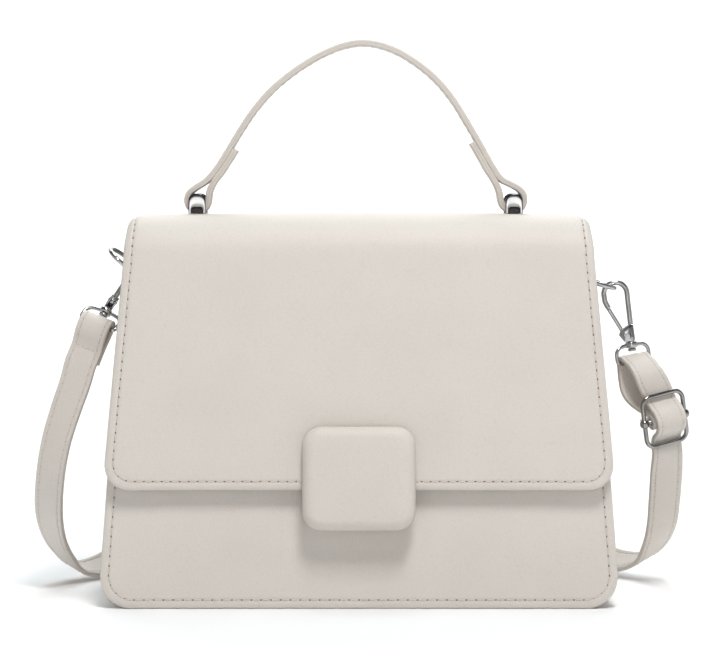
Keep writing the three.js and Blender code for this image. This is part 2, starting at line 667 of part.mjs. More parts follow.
// Hook body: the bent hook, the web with the gate's slot and pin, and the riveted swivel post
function hookBody(name) {
  const eyeZ = HOOK_WIRE - HOOK_EYE.radius;
  const arc = [0, 22.5, 45, 67.5, 90, 112.5, 135, 157.5, 180].map((angle) => ({
    x: HOOK_EYE.x + HOOK_EYE.radius * Math.cos(radians(angle)),
    z: eyeZ + HOOK_EYE.radius * Math.sin(radians(angle)),
  }));
  const bend = [HOOK_SPINE_FOOT, ...arc, ...HOOK_NOSE].map((row) => new THREE.Vector2(row.x, row.z));
  const web = slab(HOOK_WEB.map((row) => new THREE.Vector2(row.x, row.z)), HOOK_WEB_THICKNESS);
  const slotSize = { x: 8, z: 12 };
  const slot = new THREE.BoxGeometry(slotSize.x, HOOK_SLOT.width, slotSize.z);
  slot.translate(HOOK_SLOT.inner - slotSize.x / 2, 0, HOOK_SLOT.floor + slotSize.z / 2);
  const pin = rod(GATE_EYE.pin, HOOK_WEB_THICKNESS - 0.6, "y", vec(GATE.x, 0, GATE.z), 10);
  const postTop = HOOK_WEB[1].z + 0.5;
  const headTop = COLLAR.top - COLLAR.height - GAP;
  const post = rod(HOOK_POST.radius, postTop - headTop + 0.5, "z", vec(0, 0, (postTop + headTop - 0.5) / 2));
  const head = rod(HOOK_POST.head, HOOK_POST.headHeight, "z", vec(0, 0, headTop - HOOK_POST.headHeight / 2));
  const slotted = asManifold(web).subtract(asManifold(slot));
  const whole = slotted.add(joined(wire(bend, HOOK_WIRE, false), post, head)).add(asManifold(pin));
  return piece(name, asGeometry(whole), METAL);
}

// Gate: a thin lever from an eye on the pin to just under the hook's nose
function hookGate(name) {
  const pivot = vec(0, 0, 0);
  const arm = new THREE.BoxGeometry(GATE.width, GATE.thickness, GATE.length - 1);
  arm.translate(0, 0, (GATE.length + 1) / 2);
  const whole = joined(rod(GATE_EYE.radius, GATE.thickness, "y", pivot), arm);
  const hole = asManifold(rod(GATE_EYE.hole, 2 * GATE.thickness, "y", pivot));
  const mesh = piece(name, asGeometry(whole.subtract(hole)), METAL);
  mesh.rotation.y = -radians(GATE.lean);
  mesh.position.set(GATE.x, 0, GATE.z);
  return mesh;
}

// Swivel ring: a wire bow with a straight bar for the strap, its ends joined into the bored collar
function swivelRing(name) {
  const half = SWIVEL_HALF_WIDTH;
  const bow = roundedPath([
    { x: -2.2, y: -29.8 },
    { x: -half, y: -30.6, r: 4 },
    { x: -half, y: SWIVEL_BAR_Z, r: 1.6 },
    { x: half, y: SWIVEL_BAR_Z, r: 1.6 },
    { x: half, y: -30.6, r: 4 },
    { x: 2.2, y: -29.8 },
  ], false, 5);
  const middle = vec(0, 0, COLLAR.top - COLLAR.height / 2);
  const collar = rod(COLLAR.radius, COLLAR.height, "z", middle, 18);
  const bore = rod(COLLAR.bore, COLLAR.height + 4, "z", middle, 18);
  const whole = joined(collar, wire(bow, SWIVEL_WIRE, false)).subtract(asManifold(bore));
  return piece(name, asGeometry(whole), METAL);
}

// One snap hook with its gate and swivel ring. The ring is turned about the post to the strap's width.
function snapHook(side, axes, strapWidth) {
  const hook = frameGroup(axes.origin, axes.x, axes.y, axes.up);
  hook.add(hookBody(`hook_body_${side}`), hookGate(`hook_gate_${side}`));
  const ringY = axes.up.clone().cross(strapWidth);
  const ring = frameGroup(axes.origin, strapWidth, ringY, axes.up);
  ring.add(swivelRing(`swivel_ring_${side}`));
  return [hook, ring];
}

// The frame of the strap beside a bar: along it, across it and out of its front face
function strapAxes(origin, along, wide) {
  const width = wide.clone().normalize();
  const down = along.clone().addScaledVector(width, -along.dot(width)).normalize();
  return { origin, width, along: down, front: down.clone().cross(width) };
}

// The same on a hook's swivel ring, where the strap's width lies along the ring's bar
function strapOnRing(axes, along, wide) {
  const level = wide.clone().addScaledVector(axes.up, -wide.dot(axes.up));
  return strapAxes(axes.origin.clone().addScaledVector(axes.up, SWIVEL_BAR_Z), along, level);
}

const besideBar = (axes) => (row) => ({
  at: axes.origin.clone()
    .addScaledVector(axes.along, row.along)
    .addScaledVector(axes.front, row.front)
    .addScaledVector(axes.width, row.side ?? 0),
  wide: axes.width,
});
const hanging = (side) => (row) => ({
  at: vec(side * row.out, row.y, row.z),
  wide: vec(side * row.wo, row.wy, row.wz),
});

// The strap on the floor behind the bag, on its edge: two straight legs and a half turn
function strapFloor() {
  const { halfWidth, z, legStart, legEnd, turnSteps } = STRAP_FLOOR;
  const turn = Array.from({ length: turnSteps + 1 }, (_, k) => {
    const angle = (Math.PI * k) / turnSteps;
    return vec(halfWidth * Math.cos(angle), legEnd + halfWidth * Math.sin(angle), z);
  });
  const points = [vec(halfWidth, legStart, z), ...turn, vec(-halfWidth, legStart, z)];
  return points.map((at) => ({ at, wide: vec(0, 0, 1) }));
}

// Shoulder strap: sewn round the slider's bar, folded on the right ring, threaded through the slider,
// down to the floor, round behind the bag, and up to the sewn fold on the left ring
function shoulderStrap(right, sliderAxes, left) {
  const leftSide = { ...left, width: left.width.clone().negate() };
  const rows = [
    ...STRAP_SEWN_END.map(besideBar(sliderAxes)),
    ...STRAP_RIGHT_FOLD.map(besideBar(right)),
    ...STRAP_THROUGH_SLIDER.map(besideBar(sliderAxes)),
    ...STRAP_HANG_RIGHT.map(hanging(1)),
    ...strapFloor(),
    ...STRAP_HANG_LEFT.map(hanging(-1)).reverse(),
    ...STRAP_LEFT_FOLD.map(besideBar(leftSide)),
  ];
  const curve = new THREE.CatmullRomCurve3(rows.map((row) => row.at), false, "centripetal");
  const points = [];
  const widths = [];
  rows.slice(0, -1).forEach((row, i) => {
    const next = rows[i + 1];
    const steps = THREE.MathUtils.clamp(Math.round(row.at.distanceTo(next.at) / 7), 2, 8);
    for (let k = 0; k < steps; k++) {
      points.push(curve.getPoint((i + k / steps) / (rows.length - 1)));
      widths.push(row.wide.clone().lerp(next.wide, k / steps));
    }
  });
  points.push(rows[rows.length - 1].at);
  widths.push(rows[rows.length - 1].wide);
  return piece("shoulder_strap", band(points, widths, STRAP_WIDTH, STRAP_THICKNESS), LEATHER);
}

// Slide buckle: a closed wire frame, and the bar across it with an eye on each side wire
function slider(axes) {
  const frame = frameGroup(axes.origin, axes.width, axes.front.clone().negate(), axes.along.clone().negate());
  const { halfWidth: x, halfHeight: y, corner: r } = SLIDER;
  const corners = [[-x, -y], [x, -y], [x, y], [-x, y]].map(([cx, cy]) => ({ x: cx, y: cy, r }));
  const outline = wire(roundedPath(corners, true, 5), SLIDER.wire, true);
  const eye = (side) => new THREE.SphereGeometry(SLIDER_EYE.radius, 14, 10).translate(side * x, 0, 0);
  const hole = (side) => asManifold(rod(SLIDER_EYE.hole, 4 * SLIDER_EYE.radius, "z", vec(side * x, 0, 0)));
  const bar = joined(rod(SLIDER.wire, 2 * x, "x", vec(0, 0, 0), 12), eye(-1), eye(1));
  frame.add(piece("slider_frame", outline, METAL));
  frame.add(piece("slider_bar", asGeometry(bar.subtract(hole(-1)).subtract(hole(1))), METAL));
  return frame;
}

// Assembly
const rightRing = ringAxes(1, -17, 2);
const leftRing = ringAxes(-1, 40, -8);
const rightWirePoint = rightRing.origin.clone().addScaledVector(rightRing.out, RING_LENGTH);
const leftWirePoint = leftRing.origin.clone()
  .addScaledVector(leftRing.out, 6)
  .addScaledVector(leftRing.bar, RING_HALF_WIDTH);
const rightHook = hookAxes(rightWirePoint, vec(0.146, 0, -0.989), rightRing.bar);
const leftHook = hookAxes(leftWirePoint, vec(-0.43, -0.57, -0.7), leftRing.out);
const rightStrap = strapOnRing(rightHook, vec(0.45, -0.2, -0.87), vec(0.82, 0.47, 0.3));
const leftStrap = strapOnRing(leftHook, vec(-0.29, -0.07, -0.954), vec(0.911, -0.25, -0.327));
const sliderAxes = strapAxes(vec(147.8, -7, 86.2), vec(0.24, 0.2, -0.95), vec(0.9, 0.38, 0.2));

const group = new THREE.Group();
group.name = "square_handbag";
group.add(
  panel("front_panel", "front"),
  panel("back_panel", "back"),
  gusset(),
  flap(),
  claspBlock(),
  claspMagnet(),
  handle(),
  handleBridge("handle_bridge_left", BRIDGE_X.left),
  handleBridge("handle_bridge_right", BRIDGE_X.right),
  ringTab("ring_tab_left", -1, leftRing),
  ringTab("ring_tab_right", 1, rightRing),
  dRing("d_ring_left", leftRing),
  dRing("d_ring_right", rightRing),
  ...snapHook("left", leftHook, leftStrap.width),
  ...snapHook("right", rightHook, rightStrap.width),
  shoulderStrap(rightStrap, sliderAxes, leftStrap),
  slider(sliderAxes),
);

export default group;
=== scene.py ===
"""Looks of a structured flap handbag: leather, stitching and polished fittings around the fixed frame.

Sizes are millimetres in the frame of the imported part, and become metres where a mesh is made.
"""
import json
import math

import bpy
import numpy as np
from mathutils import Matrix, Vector


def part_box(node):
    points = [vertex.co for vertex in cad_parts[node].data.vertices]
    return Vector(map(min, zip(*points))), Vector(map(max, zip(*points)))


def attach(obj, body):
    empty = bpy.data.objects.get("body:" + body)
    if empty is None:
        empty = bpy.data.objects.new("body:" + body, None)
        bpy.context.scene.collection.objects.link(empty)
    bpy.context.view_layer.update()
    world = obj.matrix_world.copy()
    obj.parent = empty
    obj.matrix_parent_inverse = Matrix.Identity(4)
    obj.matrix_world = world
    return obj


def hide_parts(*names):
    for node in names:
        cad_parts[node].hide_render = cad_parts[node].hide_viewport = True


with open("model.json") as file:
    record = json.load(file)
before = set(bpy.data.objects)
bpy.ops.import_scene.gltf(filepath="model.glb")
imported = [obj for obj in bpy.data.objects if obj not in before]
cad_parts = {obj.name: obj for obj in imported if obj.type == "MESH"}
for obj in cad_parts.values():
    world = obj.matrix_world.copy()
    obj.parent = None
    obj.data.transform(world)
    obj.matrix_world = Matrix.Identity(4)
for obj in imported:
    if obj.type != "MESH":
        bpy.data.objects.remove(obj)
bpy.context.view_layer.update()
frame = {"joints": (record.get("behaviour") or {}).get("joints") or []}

MM = 0.001
WELD = 1e-5

# Body
BASE_HALF_WIDTH = 123
SIDE_SLOPE = 0.071
BASE_FRONT_Y = -47
PANEL_SLOPE = 0.094
PANEL_TILT = math.atan(PANEL_SLOPE)
PANEL_THICKNESS = 2.4
PANEL_TOP = 168
PANEL_LIFT = 0.3
PANEL_CORNER = 16
PANEL_TOP_CORNER = 3
PANEL_PUFF = 0.5
PIECE_GAP = 0.3
GUSSET_INSET = 1
GUSSET_TOP = 170
GUSSET_CORNER = 15
GUSSET_WALL = 2.2
GUSSET_FLANGE = 7
GUSSET_FLANGE_WALL = 1.4
GUSSET_EDGE_ROUND = 1.6
GUSSET_DENT = 11.2
DENT_FROM = 30
DENT_TO = 160
GUSSET_STRAIGHT_FROM = GUSSET_CORNER + 4

# Flap
FLAP_THICKNESS = 2.8
FLAP_TOP = 185.6
FLAP_CROWN = 1.1
FLAP_EDGE_ROLL = 6.5
FLAP_EDGE_DROP = 2.8
FLAP_SHOULDER = 20
FLAP_FRONT_SLOPE = 0.105
FLAP_FRONT_TOP_Y = -35.6
FLAP_HEM_Z = 56.5
FLAP_BACK_HEM_Z = 138
FLAP_SHOULDER_HALF_WIDTH = 110.8
FLAP_SIDE_SLOPE = 0.088
FLAP_TOP_NARROWING = 1
FLAP_HEM_CORNER = 13
FLAP_BACK_CORNER = 6
FLAP_STEP = 0.8
FLAP_SEAM_RISE = 6

# Clasp block and its magnet
CLASP_WIDTH = 53
CLASP_HEIGHT = 48.5
CLASP_CORNER = 9
CLASP_CORNER_SHRINK = 0.75
CLASP_LEAST_CORNER = 2
# Rows of the block's back edge: (inset, height)
CLASP_BACK_EDGE = [(0.9, 0), (0.25, 0.25), (0, 0.9)]
CLASP_RIM = 2
CLASP_ROLL = 5.5
CLASP_CROWN = 0.7
CLASP_Z = 62
MAGNET_RADIUS = 7.5
MAGNET_BEVEL = 0.4

# Handle: its centre line (x, z), and its end loops from the bridges' bars (out, up)
HANDLE_WIDTH = 15
HANDLE_THICKNESS = 2.8
HANDLE_STEP = 1.2
HANDLE_ARCH = [
    (-68.6, 206.8), (-62.9, 215.6), (-57.2, 225.0), (-50.4, 235.0), (-42.8, 243.8), (-34.6, 251.0),
    (-25.6, 257.3), (-16.4, 262.4), (-7.2, 265.9), (1.8, 267.3), (11.0, 265.9), (20.2, 262.2),
    (29.2, 256.4), (37.4, 249.4), (45.2, 240.0), (51.6, 229.8), (58.2, 218.6), (64.2, 208.0),
]
HANDLE_LOOP = {
    "left": [
        (-8.1, 9.5), (-5.8, 4.7), (-5.2, 0.5), (-4.3, -2.6), (-1.8, -4.5), (1.6, -4.5),
        (4, -3), (5, 0.4), (4.1, 3.6), (1, 6.3), (-2.2, 8.2), (-5, 10.4),
    ],
    "right": [
        (-9.1, 9.4), (-7, 4.7), (-6.2, 0.5), (-4.9, -2.6), (-2, -4.5), (1.6, -4.5),
        (4, -3), (5.1, 0.6), (4.5, 3.6), (2.2, 6), (-1.8, 8.2), (-6, 10.4),
    ],
}
HANDLE_TAIL = {"left": 15, "right": 15.2}
BRIDGE_X = {"left": -77.8, "right": 74.6}
BRIDGE_Z = 191.4
BRIDGE_FOOT = 185.3
BRIDGE_TOP = 195
BRIDGE_LEG_WIDTH = 8.2
BRIDGE_LEG_THICKNESS = 2
BRIDGE_NOTCH_WIDTH = 5.6
BRIDGE_NOTCH_HEIGHT = 3.2
BRIDGE_TOP_ROUND = 3.4
BRIDGE_NOTCH_ROUND = 1.4
BRIDGE_STEP = 0.25
BRIDGE_PLAY = 0.2
# Where the bridge legs' outer edge turns dark, as shares across the leg: a painted dark reflection
BRIDGE_PAINTED_REFLECTION_EDGE = (0.2, 0.36)
BRIDGE_BAR = (6.6, 5.2)
BRIDGE_BAR_ROUND = 2.4
# A dark plate in each bridge's notch, painted shadow: its inset, half depth and bevel
NOTCH_SHADOW_INSET = 0.4
NOTCH_SHADOW_HALF_DEPTH = 0.3
NOTCH_SHADOW_BEVEL = 0.1

# Side rings and their tabs
RING_WIRE = 1.1
RING_HALF_WIDTH = 8
RING_LENGTH = 20
RING_CORNER = 2
RING_BOW_FLAT = 0.2
RING_BAR_X = 104.8
RING_BAR_Z = 155
# Each ring's side of the bag, and its tilt and roll in degrees
RING_TURN = {"left": (-1, 40, -8), "right": (1, -17, 2)}
TAB_WIDTH = 12.6
TAB_THICKNESS = 1.6
TAB_LENGTH = 23
TAB_STAND = 1.1
TAB_PLAY = 0.4
# Heights of a tab's keys over its foot, and the keys between which its width turns to the ring
TAB_ROWS = [0.0, 6, 12, 17]
TAB_TURN_KEYS = [2.5, 3.5, 8.5, 9.5]

# Snap hooks, in the plane of the hook: x across from the swivel axis, z up from the top of the eye
HOOK_WIRE = 1.3
HOOK_STEP = 0.5
HOOK_END_DOME = 0.6
HOOK_EYE_X = -4.2
HOOK_EYE_RADIUS = 5.6
HOOK_NOSE = [(-9.7, -7.4), (-8.56, -10.56)]
HOOK_SPINE_FOOT = (0.8, -25)
HOOK_WEB = [(2.1, -19.5), (2.1, -28), (-3.2, -28), (-5.2, -24.6), (-4.0, -21.8), (-0.2, -20.2)]
HOOK_WEB_ROUND = 0.7
HOOK_BACK = [(2.1, -19.5), (2.1, -28), (-0.3, -28), (-0.3, -20.2)]
HOOK_BACK_ROUND = 0.5
HOOK_BEVEL = 0.3
HOOK_WEB_THICKNESS = 4.2
HOOK_SLOT = 2.3
HOOK_POST_RADIUS = 1.25
HOOK_POST_TOP = -27.5
HOOK_POST_SUNK = 0.5
HOOK_POST_HEAD = 2.1
HOOK_HEAD_HEIGHT = 1.4
HOOK_PIN_RADIUS = 0.75
HOOK_PIN_PROUD = 0.25
HOOK_POST_BEVEL = 0.1
HOOK_HEAD_BEVEL = 0.35
HOOK_PIN_BEVEL = 0.2
GATE_PIN = (-2.7, -24.4)
GATE_LENGTH = 14.6
GATE_LEAN = 23.5
GATE_START = 1.0
GATE_SECTION = (0.95, 0.85)
GATE_EYE_RADIUS = 2
GATE_EYE_BEVEL = 0.25
COLLAR_TOP = -28.3
COLLAR_HEIGHT = 3
COLLAR_RADIUS = 3
COLLAR_BORE = 1.6
COLLAR_BEVEL = 0.5
SWIVEL_WIRE = 0.95
SWIVEL_HALF_WIDTH = 9.4
SWIVEL_BAR_Z = -38
SWIVEL_SHOULDER_Z = -30.6
SWIVEL_SHOULDER_ROUND = 4
SWIVEL_CORNER = 1.6
SWIVEL_ARM_X = 2.2

# Shoulder strap and slide buckle
STRAP_WIDTH = 16
STRAP_THICKNESS = 2.4
STRAP_STEP = 1.1
SLIDER_HALF_WIDTH = 11.2
SLIDER_HALF_HEIGHT = 12.4
SLIDER_CORNER = 4.5
SLIDER_WIRE = 1.1
SLIDER_EYE = 2.35
SLIDER_BEVEL = 0.2
SLIDER_AT = (147.8, -7, 86.2)
SLIDER_ALONG = (0.24, 0.2, -0.95)
SLIDER_WIDE = (0.9, 0.38, 0.2)
STRAP_ON_RING = {
    "right": {"along": (0.45, -0.2, -0.87), "wide": (0.82, 0.47, 0.3)},
    "left": {"along": (-0.29, -0.07, -0.954), "wide": (0.911, -0.25, -0.327)},
}
# Beside a bar the rows are (along, front) from that bar, and through the slider (along, front, side)
STRAP_SEWN_END = [
    (1.4, -10), (0.6, -5.4), (1.2, -2.5), (2.3, -1.4), (2.7, 0), (1.9, 1.9),
    (0, 2.7), (-1.9, 1.9), (-2.8, -0.2), (-3.4, -3.4), (-4.6, -7),
]
STRAP_RIGHT_FOLD = [
    (14, -6.4), (6.4, -5.4), (0.6, -2.8), (-1.84, -1.84), (-2.6, 0), (-1.84, 1.84),
    (0.4, 3.4), (4, 6), (8.6, 7.4),
]
STRAP_THROUGH_SLIDER = [
    (-12.6, -3.1, -0.2), (-8.4, -1, 0), (-4.8, 3.9, 0.2), (0, 6.1, 0.3),
    (4.8, 3.9, 0.5), (8.4, -1, 0.7), (12.6, -3.1, 0.8), (16.2, -2.6, 0.6),
]
STRAP_LEFT_FOLD = [
    (21, 1.7), (16, 1.6), (12.5, 1.5), (9, 2.6), (5.5, 4), (2, 4.4), (-1.2, 3.7), (-2.9, 1.4),
    (-2.6, -1.2), (-0.6, -2.7), (4, -2.4), (9, -1.6), (14, -1.35), (18.5, -1.4),
]
STRAP_FOLD_SEAM = (12.5, 1.5)
STRAP_FOLD_SEAM_SUNK = 0.05
# The hanging strap: out from the bag's middle, y, z, and the width's direction (out, y, z)
STRAP_HANG_RIGHT = [
    (150.2, 5, 59, 0.98, 0.17, 0.08),
    (150.4, 13.5, 44.5, 0.97, 0.2, 0.1),
    (150, 21, 31, 0.94, 0.3, 0.14),
    (148, 31, 20, 0.86, 0.46, 0.2),
    (143.5, 43, 11, 0.66, 0.7, 0.26),
    (131, 59, 7, 0.7, 0.4, 0.58),
    (119.5, 84, 8.2, 0.5, 0.2, 0.84),
]
STRAP_HANG_LEFT = [
    (136.4, -12.4, 104.5, 0.9, 0.34, 0.29),
    (141.1, -12.8, 91, 0.89, 0.4, 0.21),
    (145.4, -12.6, 77.2, 0.87, 0.46, 0.14),
    (148.3, -11, 63.4, 0.86, 0.5, 0.08),
    (150.2, -6.5, 49.2, 0.84, 0.53, 0.09),
    (151.1, 2, 37, 0.82, 0.55, 0.14),
    (150.3, 13, 26, 0.78, 0.58, 0.2),
    (147.2, 27, 15.4, 0.72, 0.64, 0.22),
    (141.4, 41, 6.4, 0.6, 0.76, 0.22),
    (131, 54, 5.3, 0.55, 0.68, 0.42),
    (119.5, 80, 7.6, 0.5, 0.3, 0.78),
]
STRAP_FLOOR_HALF_WIDTH = 113
STRAP_FLOOR_Z = 8.4
STRAP_LEG_START = 112
STRAP_LEG_END = 190

# Seams and edges of the sheets
SEAM_INSET = 4
RIM_WIDTH = 3.3
SEAM_DEPTH = 0.3
SEAM_HALF_WIDTH = 0.75
SEAM_GROOVE_START = (1, 3)
PUFF_REACH = 45
PANEL_PITCH = 4.6
FLAP_PITCH = 4.2
HANDLE_PITCH = 4
STRAP_PITCH = 4.2
FOLD_PITCH = 3.2
HOLE_LENGTH = 1.35
HOLE_WIDTH = 0.95
THREAD_RADIUS = 0.36
BAND_HOLE = (0.95, 0.6)
BAND_THREAD_RADIUS = 0.3

# Bands: the section's points from the edge, the groove of the seam, and the line where two layers meet
BAND_SEAM_INSET = 2.3
BAND_ROUND = 0.7
BAND_ROUND_SHARE = 0.55
BAND_INSETS = [1.1, 1.5, 1.9, 2.1, 2.3, 2.5, 2.7, 3.1, 3.6, 4.6]
BAND_MIDDLE_INSET = 5.6
BAND_GROOVE = 0.22
BAND_GROOVE_HALF_WIDTH = 0.4
BAND_EDGE_TURN = 78
BAND_SPLIT = 0.16
BAND_PAINT = 0.26
BAND_LINE_PAINT = 0.36
BAND_LINE_HALF_WIDTH = 0.22

# Stitches: a hole's rings are (share of its size, height)
THREAD_RINGS = 9
THREAD_SIDES = 8
THREAD_START = 0.4
THREAD_LIFT = 0.35
THREAD_DIP = 1.6
HOLE_RINGS = [(0, 0.1), (0.7, 0.08), (1, -0.05), (0, -0.15)]

# Points of the sheets: distances from an edge, close together at the rim and the groove, then even steps
EDGE_STEPS = np.array([
    0, 0.06, 0.22, 0.5, 0.9, 1.4, 2.0, 2.6, 3.1, 3.5, 3.8, 4.0, 4.2, 4.5, 4.9, 5.5, 6.6, 8.6,
])
ROW_STEP = 2.4
SHEET_COLUMNS = 72
DOME_DEGREES = [30, 60, 90]

# Colours
IVORY = (0.612, 0.566, 0.520, 1)
IVORY_SHADE = (0.597, 0.550, 0.504, 1)
EDGE_PAINT = (0.330, 0.285, 0.245, 1)
THREAD_LIGHT = (0.63, 0.58, 0.53, 1)
THREAD_SHADE = (0.50, 0.45, 0.41, 1)
# Needle holes: painted shade, full and faint
HOLE_DARK = (0.13, 0.11, 0.10, 1)
HOLE_LIGHT = (0.20, 0.17, 0.15, 1)
FAINT_HOLE_DARK = (0.30, 0.26, 0.23, 1)
FAINT_HOLE_LIGHT = (0.40, 0.35, 0.31, 1)
# Painted shadow in the bridges' notches
NOTCH_SHADOW_DARK = (0.030, 0.028, 0.027, 1)
NOTCH_SHADOW_LIGHT = (0.085, 0.080, 0.076, 1)
NICKEL = (0.50, 0.50, 0.502, 1)
NICKEL_SHADE = (0.41, 0.41, 0.412, 1)
# A darker copy of the nickel for the slider: painted shade for its darker reflections
NICKEL_PAINTED_DARKER = (0.34, 0.33, 0.32, 1)
NICKEL_PAINTED_DARKER_SHADE = (0.24, 0.232, 0.225, 1)
# Painted dark reflection along the bridges' outer edges
PAINTED_REFLECTION_NICKEL = (0.035, 0.034, 0.033, 1)
FLOOR_LIGHT = (0.932, 0.932, 0.932, 1)
FLOOR_SHADE = (0.926, 0.926, 0.926, 1)

# Finishes: scales are features to the metre, and bumps are (strength, height in metres)
PEBBLE_SCALE = 1500
CREASE_SCALE = 620
CREASE_WIDTH = 0.12
# How much darker the leather is in its grain's creases: painted shade
CREASE_PAINTED_SHADE = 0.10
CLOUD_SCALE = 26
MOTTLE_SCALE = 420
LEATHER_BUMP = (0.16, 0.00006)
BAND_EDGE_PAINT = 0.55
STRAND_SCALE = 2600
THREAD_BUMP = (0.5, 0.0001)
HOLE_SCALE = 900
SMUDGE_SCALE = 160
POLISH_SCALE = 3800
METAL_BUMP = (0.05, 0.00003)
# How far the bridges' outer edge goes to the painted dark reflection
BRIDGE_PAINTED_REFLECTION = 0.92
FLOOR_CLOUD_SCALE = 1.5

# Stage
CAMERA_AT = (0.5, -1250, 200)
CAMERA_DROP = 3.36
CAMERA_LENS = 129
CAMERA_SENSOR = 36
WALL_LIGHT = 0.60
CEILING_LIGHT = 0.10
WALL_TOP = (0.25, 0.6)
FLOOR_REACH = 6000
FLOOR_BACK = 3000
FLOOR_TOP = 5000
FLOOR_BEND = 1200
WHITE = (1, 1, 1)
COOL_WHITE = (0.76, 0.95, 1)
# Lamps: name, place and aim in metres, size in metres, power in watts, colour
LAMPS = [
    ("key", (0.14, -0.62, 1.12), (0, 0, 0.1), 0.32, 10.9, WHITE),
    ("top", (0, 0.1, 1.5), (0, 0, 0.2), 0.5, 4.2, COOL_WHITE),
    ("front_card", (0, -2.2, 0.2), (0, 0, 0.2), 0.64, 2.8, WHITE),
    ("backdrop", (0, 2.2, 2.2), (0, 2.6, 0), 2.4, 70, WHITE),
]


# Lines and directions
def unit(vectors):
    """Vectors divided by their lengths."""
    return vectors / np.linalg.norm(vectors, axis=-1, keepdims=True)


def smoothstep(values, low, high):
    """From 0 at low to 1 at high: three squares less two cubes of the share of the way."""
    share = np.clip((values - low) / (high - low), 0, 1)
    return share * share * (3 - 2 * share)


def spline(keys, steps):
    """A smooth line through the keys: a cubic on each span, whose end slopes come from the keys beside it,
    over gaps that are the roots of the distances between the keys."""
    keys = np.asarray(keys, float)
    padded = np.vstack([2 * keys[0] - keys[1], keys, 2 * keys[-1] - keys[-2]])
    gaps = np.sqrt(np.linalg.norm(np.diff(padded, axis=0), axis=1))[:, None]
    before, start, end, after = padded[:-3], padded[1:-2], padded[2:-1], padded[3:]
    left, middle, right = gaps[:-2], gaps[1:-1], gaps[2:]
    span = end - start
    slope_in = ((start - before) / left - (end - before) / (left + middle) + span / middle) * middle
    slope_out = (span / middle - (after - start) / (middle + right) + (after - end) / right) * middle
    t = np.linspace(0, 1, steps, endpoint=False)[None, :, None]
    line = (
        start[:, None] * (2 * t**3 - 3 * t**2 + 1)
        + slope_in[:, None] * (t**3 - 2 * t**2 + t)
        + end[:, None] * (3 * t**2 - 2 * t**3)
        + slope_out[:, None] * (t**3 - t**2)
    )
    return np.vstack([line.reshape(-1, keys.shape[1]), keys[-1:]])


def rounded_line(corners, closed=False, steps=12):
    """A flat line through corners (x, y, radius): straight runs joined by arcs that touch both runs."""
    points = []
    total = len(corners)
    for i, (x, y, radius) in enumerate(corners):
        here = np.array([x, y], float)
        if radius == 0 or (not closed and i in (0, total - 1)):
            points.append(here[None])
            continue
        back = unit(np.array(corners[i - 1][:2], float) - here)
        ahead = unit(np.array(corners[(i + 1) % total][:2], float) - here)
        half = math.acos(np.clip(back @ ahead, -1, 1)) / 2
        centre = here + unit(back + ahead) * radius / math.sin(half)
        first = here + back * radius / math.tan(half) - centre
        last = here + ahead * radius / math.tan(half) - centre
        turn = math.atan2(first[0] * last[1] - first[1] * last[0], first @ last)
        angles = np.linspace(0, turn, steps + 1)[:, None]
        across = np.array([-first[1], first[0]])
        points.append(centre + first * np.cos(angles) + across * np.sin(angles))
    return np.vstack(points)


def rounded_box(half_width, half_height, radius, steps):
    """The closed outline of a box with round corners."""
    x, z, r = half_width, half_height, radius
    return rounded_line([(-x, -z, r), (x, -z, r), (x, z, r), (-x, z, r)], True, steps)


def travel(points):
    """The distance along a line at each of its points."""
    return np.concatenate([[0], np.cumsum(np.linalg.norm(np.diff(points, axis=0), axis=1))])


def at_distance(points, values, distances):
    """Values given at a line's points, read at distances along that line."""
    marks = travel(points)
    return np.stack([np.interp(distances, marks, column) for column in values.T], axis=-1)


def evenly(points, step):
    """The same line with points at even steps, close to the step asked for."""
    length = travel(points)[-1]
    return at_distance(points, points, np.linspace(0, length, max(int(length / step), 2) + 1))


# Shapes: each is (points, four-cornered faces, rim), where rim is 1 on an edge with edge paint, and on a
# bridge leg's edge it carries a painted dark reflection
def grid_faces(rows, columns, wrap_rows=False, wrap_columns=False):
    """The quads of a grid of points, joined round where it wraps."""
    i = np.arange(rows if wrap_rows else rows - 1)[:, None]
    j = np.arange(columns if wrap_columns else columns - 1)[None, :]
    next_i = (i + 1) % rows
    next_j = (j + 1) % columns
    corners = [i * columns + j, next_i * columns + j, next_i * columns + next_j, i * columns + next_j]
    return np.stack(corners, axis=-1).reshape(-1, 4)


def outward(points, faces):
    """The faces, turned if the volume that they close is negative."""
    a, b, c, d = (points[faces[:, k]] for k in range(4))
    volume = np.sum(a * np.cross(b, c)) + np.sum(a * np.cross(c, d))
    return faces[:, ::-1] if volume < 0 else faces


def closed_shape(grid, wrap_rows=False, rim=None):
    """A grid of rings as a closed shape: each row is a ring, and the rows join round or end in
    collapsed rings. The rim is given for each point of a ring."""
    rows, columns = grid.shape[:2]
    points = grid.reshape(-1, 3)
    faces = outward(points, grid_faces(rows, columns, wrap_rows, True))
    rims = np.zeros(len(points)) if rim is None else np.broadcast_to(rim, (rows, columns)).ravel()
    return points, faces, rims


def capped(grid):
    """A grid of rings with one more ring at each end, collapsed to the middle of the ring beside it."""
    first, last = (np.broadcast_to(grid[k].mean(axis=0), (1, *grid.shape[1:])) for k in (0, -1))
    return np.concatenate([first, grid, last])


def joined(shapes):
    """Several shapes as one."""
    starts = np.cumsum([0] + [len(points) for points, _, _ in shapes])
    points = np.vstack([shape[0] for shape in shapes])
    faces = np.vstack([shape[1] + start for shape, start in zip(shapes, starts)])
    return points, faces, np.concatenate([shape[2] for shape in shapes])


def welded(points, faces, rims):
    """Points that coincide become one, and a quad that loses a corner becomes a triangle."""
    keys = np.round(points / WELD).astype(np.int64)
    _, first, place = np.unique(keys, axis=0, return_index=True, return_inverse=True)
    faces = place.ravel()[faces]
    same = faces == np.roll(faces, -1, axis=1)
    quads = faces[same.sum(axis=1) == 0]
    short = faces[same.sum(axis=1) == 1]
    keep = ~same[same.sum(axis=1) == 1]
    triangles = short[keep].reshape(-1, 3)
    return points[first], quads, triangles, rims[first]


